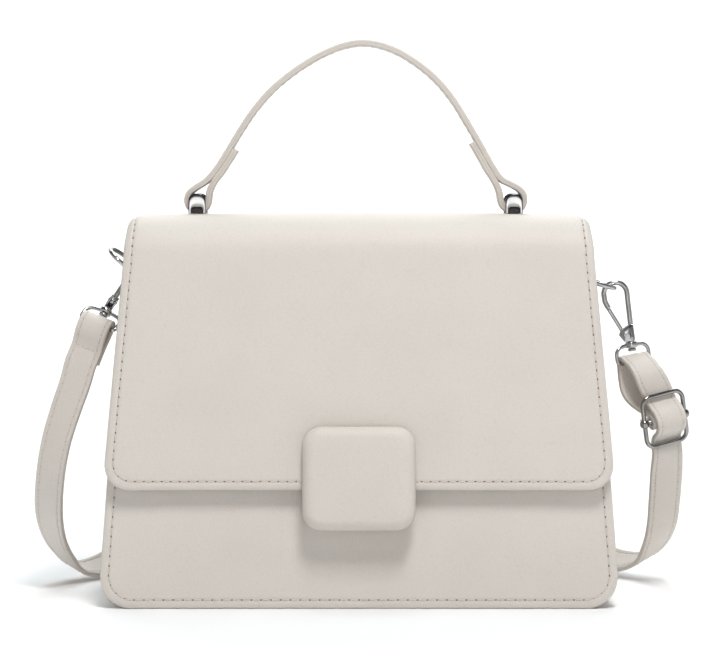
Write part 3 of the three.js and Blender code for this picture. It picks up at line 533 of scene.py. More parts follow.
def add_piece(name, shape, finish, body="bag", replaces=()):
    """A shape as a mesh object at the origin, smooth, with its finish, riding on a body."""
    points, quads, triangles, rims = welded(*shape)
    mesh = bpy.data.meshes.new(name)
    mesh.vertices.add(len(points))
    mesh.vertices.foreach_set("co", (points * MM).astype(np.float32).ravel())
    corners = np.concatenate([quads.ravel(), triangles.ravel()]).astype(np.int32)
    starts = np.concatenate([np.arange(len(quads)) * 4, quads.size + np.arange(len(triangles)) * 3])
    mesh.loops.add(len(corners))
    mesh.loops.foreach_set("vertex_index", corners)
    mesh.polygons.add(len(starts))
    mesh.polygons.foreach_set("loop_start", starts.astype(np.int32))
    mesh.update(calc_edges=True)
    mesh.attributes.new("rim", "FLOAT", "POINT").data.foreach_set("value", rims.astype(np.float32))
    mesh.shade_smooth()
    mesh.materials.append(finish)
    piece = bpy.data.objects.new(name, mesh)
    bpy.context.scene.collection.objects.link(piece)
    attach(piece, body)
    if replaces:
        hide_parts(*replaces)
    return piece


def sweep(points, side, up, profile, closed=False, round_ends=0, rim=None):
    """A flat profile (a, b) carried along a line: each ring is point + a * side + b * up.
    Open ends collapse to a point, over a dome of the height round_ends if that isn't 0."""
    scale = np.ones(len(points))
    if not closed:
        dome = np.radians(DOME_DEGREES)
        lift = np.sin(dome) * round_ends if round_ends else np.zeros(2)
        shrink = np.cos(dome) if round_ends else np.ones(2)
        shrink[-1] = 0
        ahead = unit(points[-1] - points[-2])
        behind = unit(points[0] - points[1])
        start = points[0] + lift[::-1, None] * behind
        end = points[-1] + lift[:, None] * ahead
        scale = np.concatenate([shrink[::-1], scale, shrink])
        side = np.vstack([np.repeat(side[:1], len(lift), 0), side, np.repeat(side[-1:], len(lift), 0)])
        up = np.vstack([np.repeat(up[:1], len(lift), 0), up, np.repeat(up[-1:], len(lift), 0)])
        points = np.vstack([start, points, end])
    a = profile[None, :, 0, None] * scale[:, None, None]
    b = profile[None, :, 1, None] * scale[:, None, None]
    grid = points[:, None] + a * side[:, None] + b * up[:, None]
    return closed_shape(grid, wrap_rows=closed, rim=rim)


def circle(radius, sides=20):
    """Points evenly round a circle."""
    angles = np.linspace(0, 2 * math.pi, sides, endpoint=False)
    return radius * np.stack([np.cos(angles), np.sin(angles)], axis=-1)


def soft_square(sides, power):
    """Points round a rounded square that reaches 1: the cosine and the sine of even angles,
    each brought to a power with its sign kept."""
    turn = np.radians(np.arange(sides) * 360 / sides)
    flat = np.stack([np.cos(turn), np.sin(turn)], axis=-1)
    return np.sign(flat) * np.abs(flat) ** power


def flat_wire(path, axes, radius, closed=False, round_ends=0):
    """A round wire along a flat path (x, z) in the plane of an axes' x and z."""
    line = axes.place(path[:, 0], 0, path[:, 1])
    if closed:
        ahead = unit(np.roll(line, -1, axis=0) - np.roll(line, 1, axis=0))
    else:
        ahead = unit(np.gradient(line, axis=0))
    up = np.repeat(axes.y[None], len(line), 0)
    return sweep(line, np.cross(up, ahead), up, circle(radius), closed, round_ends)


def lathe(origin, axis, profile, sides=28):
    """A profile (radius, height) turned about an axis: each ring is a circle of that radius,
    that height along the axis."""
    axis = unit(np.asarray(axis, float))
    helper = np.array([1.0, 0, 0]) if abs(axis[0]) < 0.8 else np.array([0, 1.0, 0])
    across = unit(np.cross(axis, helper))
    other = np.cross(axis, across)
    ring = circle(1, sides)
    radii = np.asarray(profile, float)[:, 0][:, None, None]
    heights = np.asarray(profile, float)[:, 1][:, None, None]
    turned = ring[None, :, 0, None] * across + ring[None, :, 1, None] * other
    return closed_shape(origin + radii * turned + heights * axis)


def rod_profile(radius, low, high, bevel):
    """The half section of a rod with bevelled ends, as (radius, height)."""
    return [
        (0, low), (radius - bevel, low), (radius, low + bevel),
        (radius, high - bevel), (radius - bevel, high), (0, high),
    ]


def plate(outline, axes, low, high, bevel):
    """A flat convex outline (x, z) as a plate between two depths: copies of the outline, each shrunk
    to its middle by a share, which takes the edges off and closes both faces."""
    middle = outline.mean(axis=0)
    reach = np.linalg.norm(outline - middle, axis=1).mean()
    inner = 1 - bevel / reach

    def ring(share, depth):
        """The outline shrunk to its middle, at a depth."""
        flat = middle + share * (outline - middle)
        return axes.place(flat[:, 0], depth, flat[:, 1])

    rings = [(0, low), (inner, low), (1, low + bevel), (1, high - bevel), (inner, high), (0, high)]
    return closed_shape(np.stack([ring(share, depth) for share, depth in rings]))


class Axes:
    """A frame of three directions at an origin."""

    def __init__(self, origin, x, y, z):
        self.origin, self.x, self.y, self.z = (np.asarray(v, float) for v in (origin, x, y, z))

    def place(self, x, y, z):
        """The points at distances along the three directions."""
        x, y, z = np.broadcast_arrays(x, y, z)
        return self.origin + x[..., None] * self.x + y[..., None] * self.y + z[..., None] * self.z


# Sheets of leather
def edge_spread(length):
    """Distances from one edge to the other, close together at both edges."""
    inner = np.arange(EDGE_STEPS[-1] + ROW_STEP, length - EDGE_STEPS[-1] - ROW_STEP / 2, ROW_STEP)
    return np.concatenate([EDGE_STEPS, inner, length - EDGE_STEPS[::-1]])


def corner_cut(distance, radius):
    """How much a round corner takes off the half width, at a distance from its edge."""
    short = np.maximum(radius - distance, 0)
    return radius - np.sqrt(radius**2 - short**2)


def corner_distance(from_side, from_end, radius):
    """The distance to an edge with a round corner, from the distances to the two straight edges."""
    in_corner = (from_side < radius) & (from_end < radius)
    round_part = radius - np.hypot(radius - from_side, radius - from_end)
    return np.where(in_corner, round_part, np.minimum(from_side, from_end))


def seam_height(distance, thickness, puff):
    """The height of the outer face: a quarter-ellipse at the rim, a bell-shaped groove along the seam,
    and a puff that rises smoothly inside it."""
    rim = np.sqrt(1 - (1 - np.clip(distance / RIM_WIDTH, 0, 1)) ** 2)
    groove = SEAM_DEPTH * np.exp(-(((distance - SEAM_INSET) / SEAM_HALF_WIDTH) ** 2))
    swell = puff * smoothstep(distance, SEAM_INSET, PUFF_REACH)
    return rim * thickness / 2 - groove * smoothstep(distance, *SEAM_GROOVE_START) + swell


def leather_sheet(length, straight, first_corner, last_corner, place, thickness, puff=0.0):
    """Both faces of a sheet: rows run from one end to the other, and columns from side to side.
    straight(s) is the half width without the corners, and place(w, s, h) bends the sheet into its place.
    Each face's height follows its distance to the edge, and the two faces meet there."""
    s = edge_spread(length)
    half = straight(s) - corner_cut(s, first_corner) - corner_cut(length - s, last_corner)
    edge = EDGE_STEPS[None, :]
    inner = np.linspace(-1, 1, SHEET_COLUMNS)[None, 1:-1] * (half[:, None] - EDGE_STEPS[-1])
    w = np.hstack([edge - half[:, None], inner, (half[:, None] - edge)[:, ::-1]])
    from_side = straight(s)[:, None] - np.abs(w)
    distance = np.minimum(
        corner_distance(from_side, s[:, None], first_corner),
        corner_distance(from_side, length - s[:, None], last_corner),
    )
    distance = np.maximum(distance, 0)
    distance[:, [0, -1]] = 0
    distance[[0, -1], :] = 0
    rim = np.sqrt(1 - (1 - np.clip(distance / (thickness / 2), 0, 1)) ** 2)
    s_grid = np.broadcast_to(s[:, None], w.shape)
    outer = place(w, s_grid, seam_height(distance, thickness, puff))
    inner_face = place(w, s_grid, -rim * thickness / 2)
    return closed_shape(np.concatenate([outer, inner_face[:, ::-1]], axis=1))


def seam_line(length, straight, corner, place, thickness, start):
    """The seam round one end of a sheet: down one side from the distance start, in a quarter circle
    round each corner, and up the other side."""
    radius = corner - SEAM_INSET
    reach = straight(np.array([float(corner)]))[0]
    rows = np.linspace(start, corner, 120)
    turn = np.radians(np.linspace(0, 90, 24))
    side_w = straight(rows) - SEAM_INSET
    corner_w = reach - corner + radius * np.cos(turn)
    corner_s = corner - radius * np.sin(turn)
    w = np.concatenate([side_w, corner_w])
    s = np.concatenate([rows, corner_s])
    w, s = np.concatenate([w, -w[::-1]]), np.concatenate([s, s[::-1]])
    height = np.full(len(w), thickness / 2 - SEAM_DEPTH)
    points = place(w, s, height)
    return points, unit(place(w, s, height + 1) - points)


# Stitches
def stitch_places(points, pitch):
    """Even needle holes along a line, about a pitch apart."""
    length = travel(points)[-1]
    count = max(int(round(length / pitch)), 2)
    return (np.arange(count) + 0.5) * length / count, length / count


def thread_row(points, normals, pitch, radius):
    """Stitches along a line: each is a round thread between two holes. To its ends it sinks with the
    fifth power of the distance from its middle, and thins by the root of one less the eighth power."""
    holes, gap = stitch_places(points, pitch)
    t = np.linspace(0, 1, THREAD_RINGS)
    ends = np.abs(2 * t - 1)
    reach = HOLE_LENGTH * THREAD_START
    s = holes[:-1, None] + reach + t * (gap - 2 * reach)
    at = at_distance(points, points, s.ravel()).reshape(*s.shape, 3)
    normal = unit(at_distance(points, normals, s.ravel()).reshape(*s.shape, 3))
    along = unit(np.gradient(at, axis=1))
    across = np.cross(along, normal)
    lift = radius * (THREAD_LIFT - THREAD_DIP * ends**5)
    thick = radius * np.sqrt(np.maximum(1 - ends**8, 0))
    ring = circle(1, THREAD_SIDES)
    centre = (at + normal * lift[None, :, None])[:, :, None]
    spread = ring[:, 0, None] * across[:, :, None] + ring[:, 1, None] * normal[:, :, None]
    rings = centre + thick[None, :, None, None] * spread
    return many_closed(rings)


def hole_row(points, normals, pitch, size):
    """Needle holes along a line: each is a shallow dark lens in the seam, painted shade for the hole,
    made of ellipses that are longer along the line."""
    holes, _ = stitch_places(points, pitch)
    length = travel(points)[-1]
    step = 0.2
    at = at_distance(points, points, holes)
    normal = unit(at_distance(points, normals, holes))
    ahead = at_distance(points, points, np.clip(holes + step, 0, length))
    behind = at_distance(points, points, np.clip(holes - step, 0, length))
    along = unit(ahead - behind)
    across = np.cross(along, normal)
    ring = circle(0.5, 10) * np.array(size)
    flat = ring[:, 0, None] * along[:, None] + ring[:, 1, None] * across[:, None]
    shares, heights = np.array(HOLE_RINGS).T
    rings = (
        at[:, None, None]
        + shares[None, :, None, None] * flat[:, None]
        + heights[None, :, None, None] * normal[:, None, None]
    )
    return many_closed(rings)


def many_closed(rings):
    """Many small closed shapes, given as (shape, ring, side, xyz), as one."""
    count, rows, sides = rings.shape[:3]
    one = grid_faces(rows, sides, False, True)
    first = rings[0].reshape(-1, 3)
    one = outward(first - first.mean(axis=0), one)
    starts = np.arange(count)[:, None, None] * rows * sides
    points = rings.reshape(-1, 3)
    return points, (one[None] + starts).reshape(-1, 4), np.zeros(len(points))


# Bands of leather
def band_frames(points, widths):
    """Directions along a band: across its width, and out of its face."""
    along = unit(np.gradient(points, axis=0))
    wide = unit(widths - along * np.sum(widths * along, axis=1, keepdims=True))
    return wide, np.cross(along, wide)


def band_profile(width, thickness, seams=True):
    """The section of a two-layer band: flat faces with a bell-shaped groove at each seam, and edges
    rounded by a fourth power, with a fine line where the layers meet.
    Gives (across, up) and the rim's share of paint."""
    half, up = width / 2, thickness / 2
    turn = min(BAND_ROUND, up * BAND_ROUND_SHARE)
    insets = np.array([turn, *BAND_INSETS])
    reach = half - BAND_MIDDLE_INSET
    face_a = np.concatenate([half - insets, np.linspace(reach, -reach, 5), insets[::-1] - half])
    inset = half - np.abs(face_a)
    groove = BAND_GROOVE * np.exp(-(((inset - BAND_SEAM_INSET) / BAND_GROOVE_HALF_WIDTH) ** 2))
    face_b = up - groove if seams else np.full(len(inset), up)
    rise = np.sin(np.radians(np.linspace(BAND_EDGE_TURN, -BAND_EDGE_TURN, 15)))
    edge_b = up * rise
    split = BAND_SPLIT * np.exp(-((edge_b / BAND_SPLIT) ** 2))
    edge_a = half - turn * (1 - np.sqrt(1 - rise**4)) - split
    a = np.concatenate([face_a[::-1], edge_a, face_a, -edge_a[::-1]])
    b = np.concatenate([face_b, edge_b, -face_b, edge_b[::-1]])
    line = BAND_PAINT + BAND_LINE_PAINT * np.exp(-((edge_b / BAND_LINE_HALF_WIDTH) ** 2))
    paint = np.concatenate([np.zeros(len(face_a)), line])
    return np.stack([a, b], axis=-1), np.concatenate([paint, paint])


def band(points, widths, width, thickness, seams=True):
    """A two-layer band along a line, wide along the widths' directions."""
    wide, normal = band_frames(points, widths)
    profile, paint = band_profile(width, thickness, seams)
    return sweep(points, wide, normal, profile, rim=paint)


def band_seams(points, widths, width, thickness):
    """The lines of the seams on a band: near both edges, on both faces."""
    wide, normal = band_frames(points, widths)
    across = width / 2 - BAND_SEAM_INSET
    up = thickness / 2 - BAND_GROOVE
    return [
        (points + side * across * wide + face * up * normal, face * normal)
        for face in (1, -1)
        for side in (1, -1)
    ]


# Shader maths
class Socket:
    """A value in a tree of nodes. Arithmetic on it adds Math nodes."""

    def __init__(self, nodes, link):
        self.nodes, self.link = nodes, link

    def _math(self, operation, first, second):
        return self.nodes.add("ShaderNodeMath", {"operation": operation}, {0: first, 1: second})

    def __add__(self, other):
        return self._math("ADD", self, other)

    def __radd__(self, other):
        return self._math("ADD", other, self)

    def __sub__(self, other):
        return self._math("SUBTRACT", self, other)

    def __rsub__(self, other):
        return self._math("SUBTRACT", other, self)

    def __mul__(self, other):
        return self._math("MULTIPLY", self, other)

    def __rmul__(self, other):
        return self._math("MULTIPLY", other, self)


class Nodes:
    """The nodes of a material or of the world."""

    def __init__(self, tree):
        self.tree = tree

    def add(self, kind, settings=None, inputs=None, output=0):
        """A node of a kind, with its settings set first, then the values or links of its sockets."""
        node = self.tree.nodes.new(kind)
        for name, value in (settings or {}).items():
            setattr(node, name, value)
        for name, value in (inputs or {}).items():
            self.feed(node.inputs[name], value)
        return Socket(self, node.outputs[output])

    def feed(self, socket, value):
        """Links a socket to a value of the tree, or sets it to a plain value."""
        if isinstance(value, Socket):
            self.tree.links.new(value.link, socket)
        else:
            socket.default_value = value

    def step(self, value, low, high):
        """A value from 0 to 1 as another goes from low to high, smoothly."""
        return self.add("ShaderNodeMapRange", {"interpolation_type": "SMOOTHSTEP"},
                        {"Value": value, "From Min": low, "From Max": high})


class Finish(Nodes):
    """One material: a Principled shader and the nodes that feed it."""

    def __init__(self, name):
        self.material = bpy.data.materials.new(name)
        self.material.use_nodes = True
        super().__init__(self.material.node_tree)
        self.shader = self.tree.nodes["Principled BSDF"]

    def set(self, **sockets):
        """Feeds the shader's sockets, named with underscores for spaces."""
        for name, value in sockets.items():
            self.feed(self.shader.inputs[name.replace("_", " ")], value)

    def place(self):
        """The place of a point on its piece."""
        return self.add("ShaderNodeTexCoord", output="Object")

    def noise(self, scale, detail=2.0, rough=0.5):
        """Cloudy values from 0 to 1, with so many clouds to the metre."""
        return self.add("ShaderNodeTexNoise", None,
                        {"Vector": self.place(), "Scale": scale, "Detail": detail, "Roughness": rough})

    def cells(self, scale, feature="F1"):
        """The distance to the middle of the nearest cell, or to its edge."""
        return self.add("ShaderNodeTexVoronoi", {"feature": feature},
                        {"Vector": self.place(), "Scale": scale}, output="Distance")

    def rim(self):
        """How far a point is on its piece's edge paint, or on a bridge's dark edge of painted reflection.
        """
        return self.add("ShaderNodeAttribute", {"attribute_name": "rim"}, output="Fac")

    def mix(self, share, first, second):
        """A colour between two colours."""
        return self.add("ShaderNodeMix", {"data_type": "RGBA"}, {0: share, 6: first, 7: second}, output=2)

    def bump(self, height, strength, distance):
        """The normal of a surface that a height raises."""
        return self.add("ShaderNodeBump", None,
                        {"Strength": strength, "Distance": distance, "Height": height})


# Finishes
def smooth_leather(name, edge_paint=0.0):
    """Coated leather: a fine pebble under a satin coat, uneven in tone over a few centimetres."""
    finish = Finish(name)
    pebble = finish.cells(PEBBLE_SCALE)
    crease = finish.step(finish.cells(CREASE_SCALE, "DISTANCE_TO_EDGE"), 0.0, CREASE_WIDTH)
    cloud = finish.noise(CLOUD_SCALE, 3)
    mottle = finish.noise(MOTTLE_SCALE, 2)
    tone = finish.mix(finish.step(cloud, 0.35, 0.7), IVORY, IVORY_SHADE)
    # Darker along the grain's creases: painted shade
    tone = finish.mix((1 - crease) * CREASE_PAINTED_SHADE, tone, EDGE_PAINT)
    if edge_paint:
        tone = finish.mix(finish.rim() * edge_paint, tone, EDGE_PAINT)
    height = 1 - pebble * 0.8 + crease * 0.5 + mottle * 0.4
    finish.set(Base_Color=tone, Roughness=0.48 + mottle * 0.12 + (1 - crease) * 0.06,
               Normal=finish.bump(height, *LEATHER_BUMP))
    finish.set(Specular_IOR_Level=0.24, Coat_Weight=0.03, Coat_Roughness=0.4)
    return finish.material


def sewing_thread():
    """Twisted thread: light strands with darker lines between them."""
    finish = Finish("sewing_thread")
    strands = finish.noise(STRAND_SCALE, 2, 0.6)
    finish.set(Base_Color=finish.mix(finish.step(strands, 0.3, 0.7), THREAD_SHADE, THREAD_LIGHT),
               Roughness=0.6 + strands * 0.2, Normal=finish.bump(strands, *THREAD_BUMP))
    return finish.material


def dark_inside(name, dark, light):
    """Painted shade for the inside of a needle hole or of a bridge's notch: matt, and cloudy between two
    tones.
    """
    finish = Finish(name)
    depth = finish.noise(HOLE_SCALE, 1)
    finish.set(Base_Color=finish.mix(depth, dark, light), Roughness=0.8 + depth * 0.15)
    finish.set(Specular_IOR_Level=0.1)
    return finish.material


def polished_metal(name, bright, shade, painted_dark_rim=0.0):
    """Plated metal: bright, with faint handling marks and fine polishing lines, and if asked a dark rim
    that is a painted reflection.
    """
    finish = Finish(name)
    smudge = finish.noise(SMUDGE_SCALE, 3)
    lines = finish.noise(POLISH_SCALE, 2, 0.7)
    tone = finish.mix(finish.step(smudge, 0.3, 0.75), bright, shade)
    if painted_dark_rim:
        # Painted dark reflection along the rim
        tone = finish.mix(finish.rim() * painted_dark_rim, tone, PAINTED_REFLECTION_NICKEL)
    finish.set(Base_Color=tone, Roughness=0.10 + smudge * 0.10 + lines * 0.04,
               Normal=finish.bump(lines, *METAL_BUMP))
    finish.set(Metallic=1.0)
    return finish.material


SKIN = smooth_leather("body_leather")
BAND_SKIN = smooth_leather("band_leather", edge_paint=BAND_EDGE_PAINT)
THREAD = sewing_thread()
SHADOW = dark_inside("needle_shadow", HOLE_DARK, HOLE_LIGHT)
FAINT_SHADOW = dark_inside("faint_needle_shadow", FAINT_HOLE_DARK, FAINT_HOLE_LIGHT)
METAL = polished_metal("polished_nickel", NICKEL, NICKEL_SHADE)
# The slider's nickel, made darker: painted shade for its darker reflections
BUCKLE_METAL = polished_metal("nickel_painted_darker", NICKEL_PAINTED_DARKER, NICKEL_PAINTED_DARKER_SHADE)
BRIDGE_METAL = polished_metal("bridge_nickel_painted_reflection", NICKEL, NICKEL_SHADE, painted_dark_rim=BRIDGE_PAINTED_REFLECTION)
# Painted shadow for the dark plates in the bridges' notches
NOTCH_SHADOW = dark_inside("bridge_notch_painted_shadow", NOTCH_SHADOW_DARK, NOTCH_SHADOW_LIGHT)


def add_seam(name, lines, pitch, hole=(HOLE_LENGTH, HOLE_WIDTH), radius=THREAD_RADIUS, shadow=SHADOW):
    """The thread and the needle holes of seams, given as (points, normals)."""
    thread = joined([thread_row(p, n, pitch, radius) for p, n in lines])
    holes = joined([hole_row(p, n, pitch, hole) for p, n in lines])
    add_piece(f"{name}_thread", thread, THREAD)
    add_piece(f"{name}_needle_holes", holes, shadow)


def add_band_seam(name, lines, pitch):
    """The finer seams of a band, with faint holes."""
    add_seam(name, lines, pitch, BAND_HOLE, BAND_THREAD_RADIUS, FAINT_SHADOW)


# Body
def body_half_width(z):
    """Half the body's width at a height: the base's, less the side's slope times the height."""
    return BASE_HALF_WIDTH - SIDE_SLOPE * z


def panel_front_y(z):
    """The front panel's outer face at a height: the base's, plus the panel's slope times the height."""
    return BASE_FRONT_Y + PANEL_SLOPE * z


def add_panel(side):
    """A flat panel leaning in to the top: its outer face is a plane, raised by its puff."""
    sign = -1 if side == "back" else 1
    length = (PANEL_TOP - PANEL_LIFT) / math.cos(PANEL_TILT)

    def height(s):
        """The height of a point of the outer face, from its distance up the panel."""
        return PANEL_LIFT + s * math.cos(PANEL_TILT)

    def straight(s):
        """Half the panel's width at a distance up the panel."""
        return body_half_width(height(s))

    def place(w, s, h):
        """A point across, up and out of the panel, on axes turned by the panel's tilt."""
        depth = h - PANEL_THICKNESS / 2
        y = panel_front_y(height(s)) - depth * math.cos(PANEL_TILT)
        z = height(s) + depth * math.sin(PANEL_TILT)
        return np.stack([w, sign * y, z], axis=-1)

    shape = leather_sheet(
        length, straight, PANEL_CORNER, PANEL_TOP_CORNER, place, PANEL_THICKNESS, PANEL_PUFF,
    )
    add_piece(f"{side}_panel_leather", shape, SKIN, replaces=[f"{side}_panel"])
    seam = seam_line(length, straight, PANEL_CORNER, place, PANEL_THICKNESS, length - SEAM_INSET)
    add_seam(f"{side}_panel", [seam], PANEL_PITCH)


def gusset_line():
    """The gusset's outer line down one side, along the base and up the other, as (x, z)."""
    heights = np.linspace(GUSSET_TOP, GUSSET_STRAIGHT_FROM, 56)
    left = [(-(body_half_width(z) - GUSSET_INSET), z, 0) for z in heights]
    base = [(sign * (BASE_HALF_WIDTH - GUSSET_INSET), 0, GUSSET_CORNER) for sign in (-1, 1)]
    right = [(-x, z, r) for x, z, r in left[::-1]]
    path = rounded_line([*left, *base, *right], steps=14)
    middle = len(path) // 2
    base_run = np.linspace(path[middle - 1], path[middle], 40)[1:-1]
    return np.vstack([path[:middle], base_run, path[middle:]])


def add_gusset():
    """One strip round both sides and the base: a channel section carried along the gusset's line.
    The web bows in by the dent times one less the square of its place between the panels."""
    path = gusset_line()
    ahead = unit(np.gradient(path, axis=0))
    inward = np.stack([-ahead[:, 1], ahead[:, 0]], axis=-1)
    turn = np.radians(np.linspace(90, 0, 7))
    fold_y = GUSSET_EDGE_ROUND * (1 - np.sin(turn))
    fold_depth = GUSSET_EDGE_ROUND * (1 - np.cos(turn))
    flange = np.linspace(GUSSET_FLANGE, GUSSET_EDGE_ROUND, 4)[:-1]
    web = np.linspace(-1, 1, 37)
    dent = GUSSET_DENT * smoothstep(path[:, 1], DENT_FROM, DENT_TO)
    bow = dent[:, None] * (1 - web**2)

    def rings(wall, floor):
        """The section from flange to flange at each point of the line, set in by a wall and a floor."""
        edge_y = np.concatenate([np.zeros(len(flange)), fold_y]) + wall
        edge_depth = np.concatenate([flange, fold_depth + floor])
        edge = len(edge_y)
        edges = np.broadcast_to(edge_depth, (len(path), edge))
        depth = np.hstack([edges, (bow + floor)[:, 1:-1], edges[:, ::-1]])
        x = path[:, :1] + depth * inward[:, :1]
        z = path[:, 1:] + depth * inward[:, 1:]
        front = panel_front_y(z) + PANEL_THICKNESS / math.cos(PANEL_TILT) + PIECE_GAP
        y = np.hstack([
            front[:, :edge] + edge_y,
            (front[:, edge:-edge] + GUSSET_EDGE_ROUND + wall) * -web[1:-1],
            -(front[:, -edge:] + edge_y[::-1]),
        ])
        return np.stack([x, y, z], axis=-1)

    outer = rings(0, 0)
    inner = rings(GUSSET_FLANGE_WALL, GUSSET_WALL)
    shape = closed_shape(capped(np.concatenate([outer, inner[:, ::-1]], axis=1)))
    add_piece("gusset_leather", shape, SKIN, replaces=["gusset"])


# Flap and clasp
def flap_front_y(z):
    """The flap's outer face in front at a height: a straight slope down from its top."""
    return FLAP_FRONT_TOP_Y - FLAP_FRONT_SLOPE * (FLAP_TOP - z)


def flap_back_y(z):
    """The flap's outer face at the back at a height: the panel's face, plus the gaps and the thickness."""
    return -panel_front_y(z) + (2 * PIECE_GAP + FLAP_THICKNESS) / math.cos(PANEL_TILT)


def flap_profile():
    """The outer line of the flap from its front hem over the top to its back hem, as (y, z)."""
    corners = [
        (flap_front_y(FLAP_HEM_Z), FLAP_HEM_Z, 0),
        (FLAP_FRONT_TOP_Y, FLAP_TOP, FLAP_SHOULDER),
        (flap_back_y(FLAP_TOP), FLAP_TOP, FLAP_SHOULDER),
        (flap_back_y(FLAP_BACK_HEM_Z), FLAP_BACK_HEM_Z, 0),
    ]
    return evenly(rounded_line(corners, steps=40), FLAP_STEP)


def add_flap():
    """One sheet bent over the top: a flat sheet whose length follows the flap's side view.
    Its top sags by the square of the place across, and rolls down at both edges."""
    line = flap_profile()
    length = travel(line)[-1]
    ahead = unit(np.gradient(line, axis=0))
    normals = np.stack([-ahead[:, 1], ahead[:, 0]], axis=-1)

    def straight(s):
        """Half the flap's width at a distance from the front hem: it grows by the side's slope below
        the shoulder, and narrows a little over the top."""
        z = at_distance(line, line, s)[..., 1]
        drop = np.maximum(FLAP_TOP - FLAP_SHOULDER - z, 0)
        narrowing = FLAP_TOP_NARROWING * smoothstep(z, FLAP_TOP - FLAP_SHOULDER, FLAP_TOP)
        return FLAP_SHOULDER_HALF_WIDTH + FLAP_SIDE_SLOPE * drop - narrowing

    def place(w, s, h):
        """A point of the flat sheet: out from the side view's line along its normal, less the sag."""
        at = at_distance(line, line, s)
        normal = unit(at_distance(line, normals, s))
        yz = at + (h - FLAP_THICKNESS / 2)[..., None] * normal
        high = smoothstep(at[..., 1], FLAP_TOP - 2 * FLAP_SHOULDER, FLAP_TOP)
        crown = FLAP_CROWN * (w / straight(s)) ** 2 * high
        from_edge = straight(s) - np.abs(w)
        roll = np.clip(1 - from_edge / FLAP_EDGE_ROLL, 0, 1)
        over = smoothstep(at[..., 1], FLAP_TOP - FLAP_SHOULDER, FLAP_TOP)
        sag = crown + FLAP_EDGE_DROP * roll**2 * over
        return np.stack([w, yz[..., 0], yz[..., 1] - sag], axis=-1)

    shape = leather_sheet(length, straight, FLAP_HEM_CORNER, FLAP_BACK_CORNER, place, FLAP_THICKNESS)
    add_piece("flap_leather", shape, SKIN, replaces=["flap"])
    front_rise = FLAP_TOP - FLAP_HEM_Z + FLAP_SEAM_RISE
    seam = seam_line(length, straight, FLAP_HEM_CORNER, place, FLAP_THICKNESS, front_rise)

    def from_back(w, s, h):
        """The same place, with the distance counted from the back hem."""
        return place(w, length - s, h)

    def back_straight(s):
        """Half the flap's width at a distance from the back hem."""
        return straight(length - s)

    back_rise = FLAP_TOP - FLAP_SHOULDER - FLAP_BACK_HEM_Z
    back_seam = seam_line(length, back_straight, FLAP_BACK_CORNER, from_back, FLAP_THICKNESS, back_rise)
    add_seam("flap", [seam, back_seam], FLAP_PITCH)


def flap_face_axes(z):
    """The frame on the flap's front face: x across, y out of the face, z up the face."""
    tilt = math.atan(FLAP_FRONT_SLOPE)
    return Axes((0, flap_front_y(z) - PIECE_GAP, z), (1, 0, 0),
                (0, -math.cos(tilt), math.sin(tilt)), (0, math.sin(tilt), math.cos(tilt)))


def add_clasp_block():
    """A padded square: rings of one rounded outline, each with its own inset and height.
    A quarter circle rolls the rim over, and the face swells to the middle with one less the square."""
    roll = np.radians(np.linspace(0, 90, 15))
    back_insets, back_heights = np.array(CLASP_BACK_EDGE).T
    insets = np.concatenate([back_insets, CLASP_ROLL * (1 - np.cos(roll))])
    heights = np.concatenate([back_heights, CLASP_RIM + CLASP_ROLL * np.sin(roll)])
    axes = flap_face_axes(CLASP_Z)

    def outline(inset):
        """The block's outline, moved in."""
        corner = max(CLASP_CORNER - inset * CLASP_CORNER_SHRINK, CLASP_LEAST_CORNER)
        return rounded_box(CLASP_WIDTH / 2 - inset, CLASP_HEIGHT / 2 - inset, corner, 16)

    def ring(flat, share, height):
        """An outline shrunk to its middle, at a height over the flap."""
        return axes.place(flat[:, 0] * share, height, flat[:, 1] * share)

    first, last = outline(insets[0]), outline(insets[-1])
    back = [ring(first, share, 0) for share in (0, 0.5)]
    rim = [ring(outline(inset), 1, height) for inset, height in zip(insets, heights)]
    face = [
        ring(last, share, heights[-1] + CLASP_CROWN * (1 - share * share))
        for share in np.linspace(1, 0, 22)[1:]
    ]
    shape = closed_shape(np.stack([*back, *rim, *face]))
    block = add_piece("clasp_block_leather", shape, SKIN, replaces=["clasp_block"])


def add_clasp_magnet():
    """The plain disc behind the block."""
    low, high = (np.array(corner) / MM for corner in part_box("clasp_magnet"))
    axis = np.array([0, -math.cos(PANEL_TILT), math.sin(PANEL_TILT)])
    half = (high[1] - low[1] - 2 * MAGNET_RADIUS * math.sin(PANEL_TILT)) / 2
    shape = lathe((low + high) / 2, axis, rod_profile(MAGNET_RADIUS, -half, half, MAGNET_BEVEL), 40)
    add_piece("clasp_magnet_disc", shape, METAL, replaces=["clasp_magnet"])


# Handle
def handle_line():
    """The handle from one sewn end to the other: tail, loop, arch, loop and tail, as (x, z)."""
    arch = np.array(HANDLE_ARCH)
    fine = spline(arch, 5)

    def tail(line, length):
        """The sewn end under a line: that line, moved in by the thickness and cut to a length."""
        ahead = unit(np.gradient(line, axis=0))
        normal = np.stack([-ahead[:, 1], ahead[:, 0]], axis=-1)
        normal *= -np.sign(normal[:, 1:])
        inside = line + normal * HANDLE_THICKNESS
        return inside[np.linalg.norm(inside - inside[0], axis=1) <= length][::3]

    left = np.array(HANDLE_LOOP["left"])
    right = np.array(HANDLE_LOOP["right"])
    left_loop = np.stack([BRIDGE_X["left"] - left[:, 0], BRIDGE_Z + left[:, 1]], axis=-1)
    right_loop = np.stack([BRIDGE_X["right"] + right[:, 0], BRIDGE_Z + right[:, 1]], axis=-1)
    left_tail = tail(fine, HANDLE_TAIL["left"])[::-1]
    right_tail = tail(fine[::-1], HANDLE_TAIL["right"])
    keys = np.vstack([left_tail, left_loop, arch, right_loop[::-1], right_tail])
    return evenly(spline(keys, 10), HANDLE_STEP)


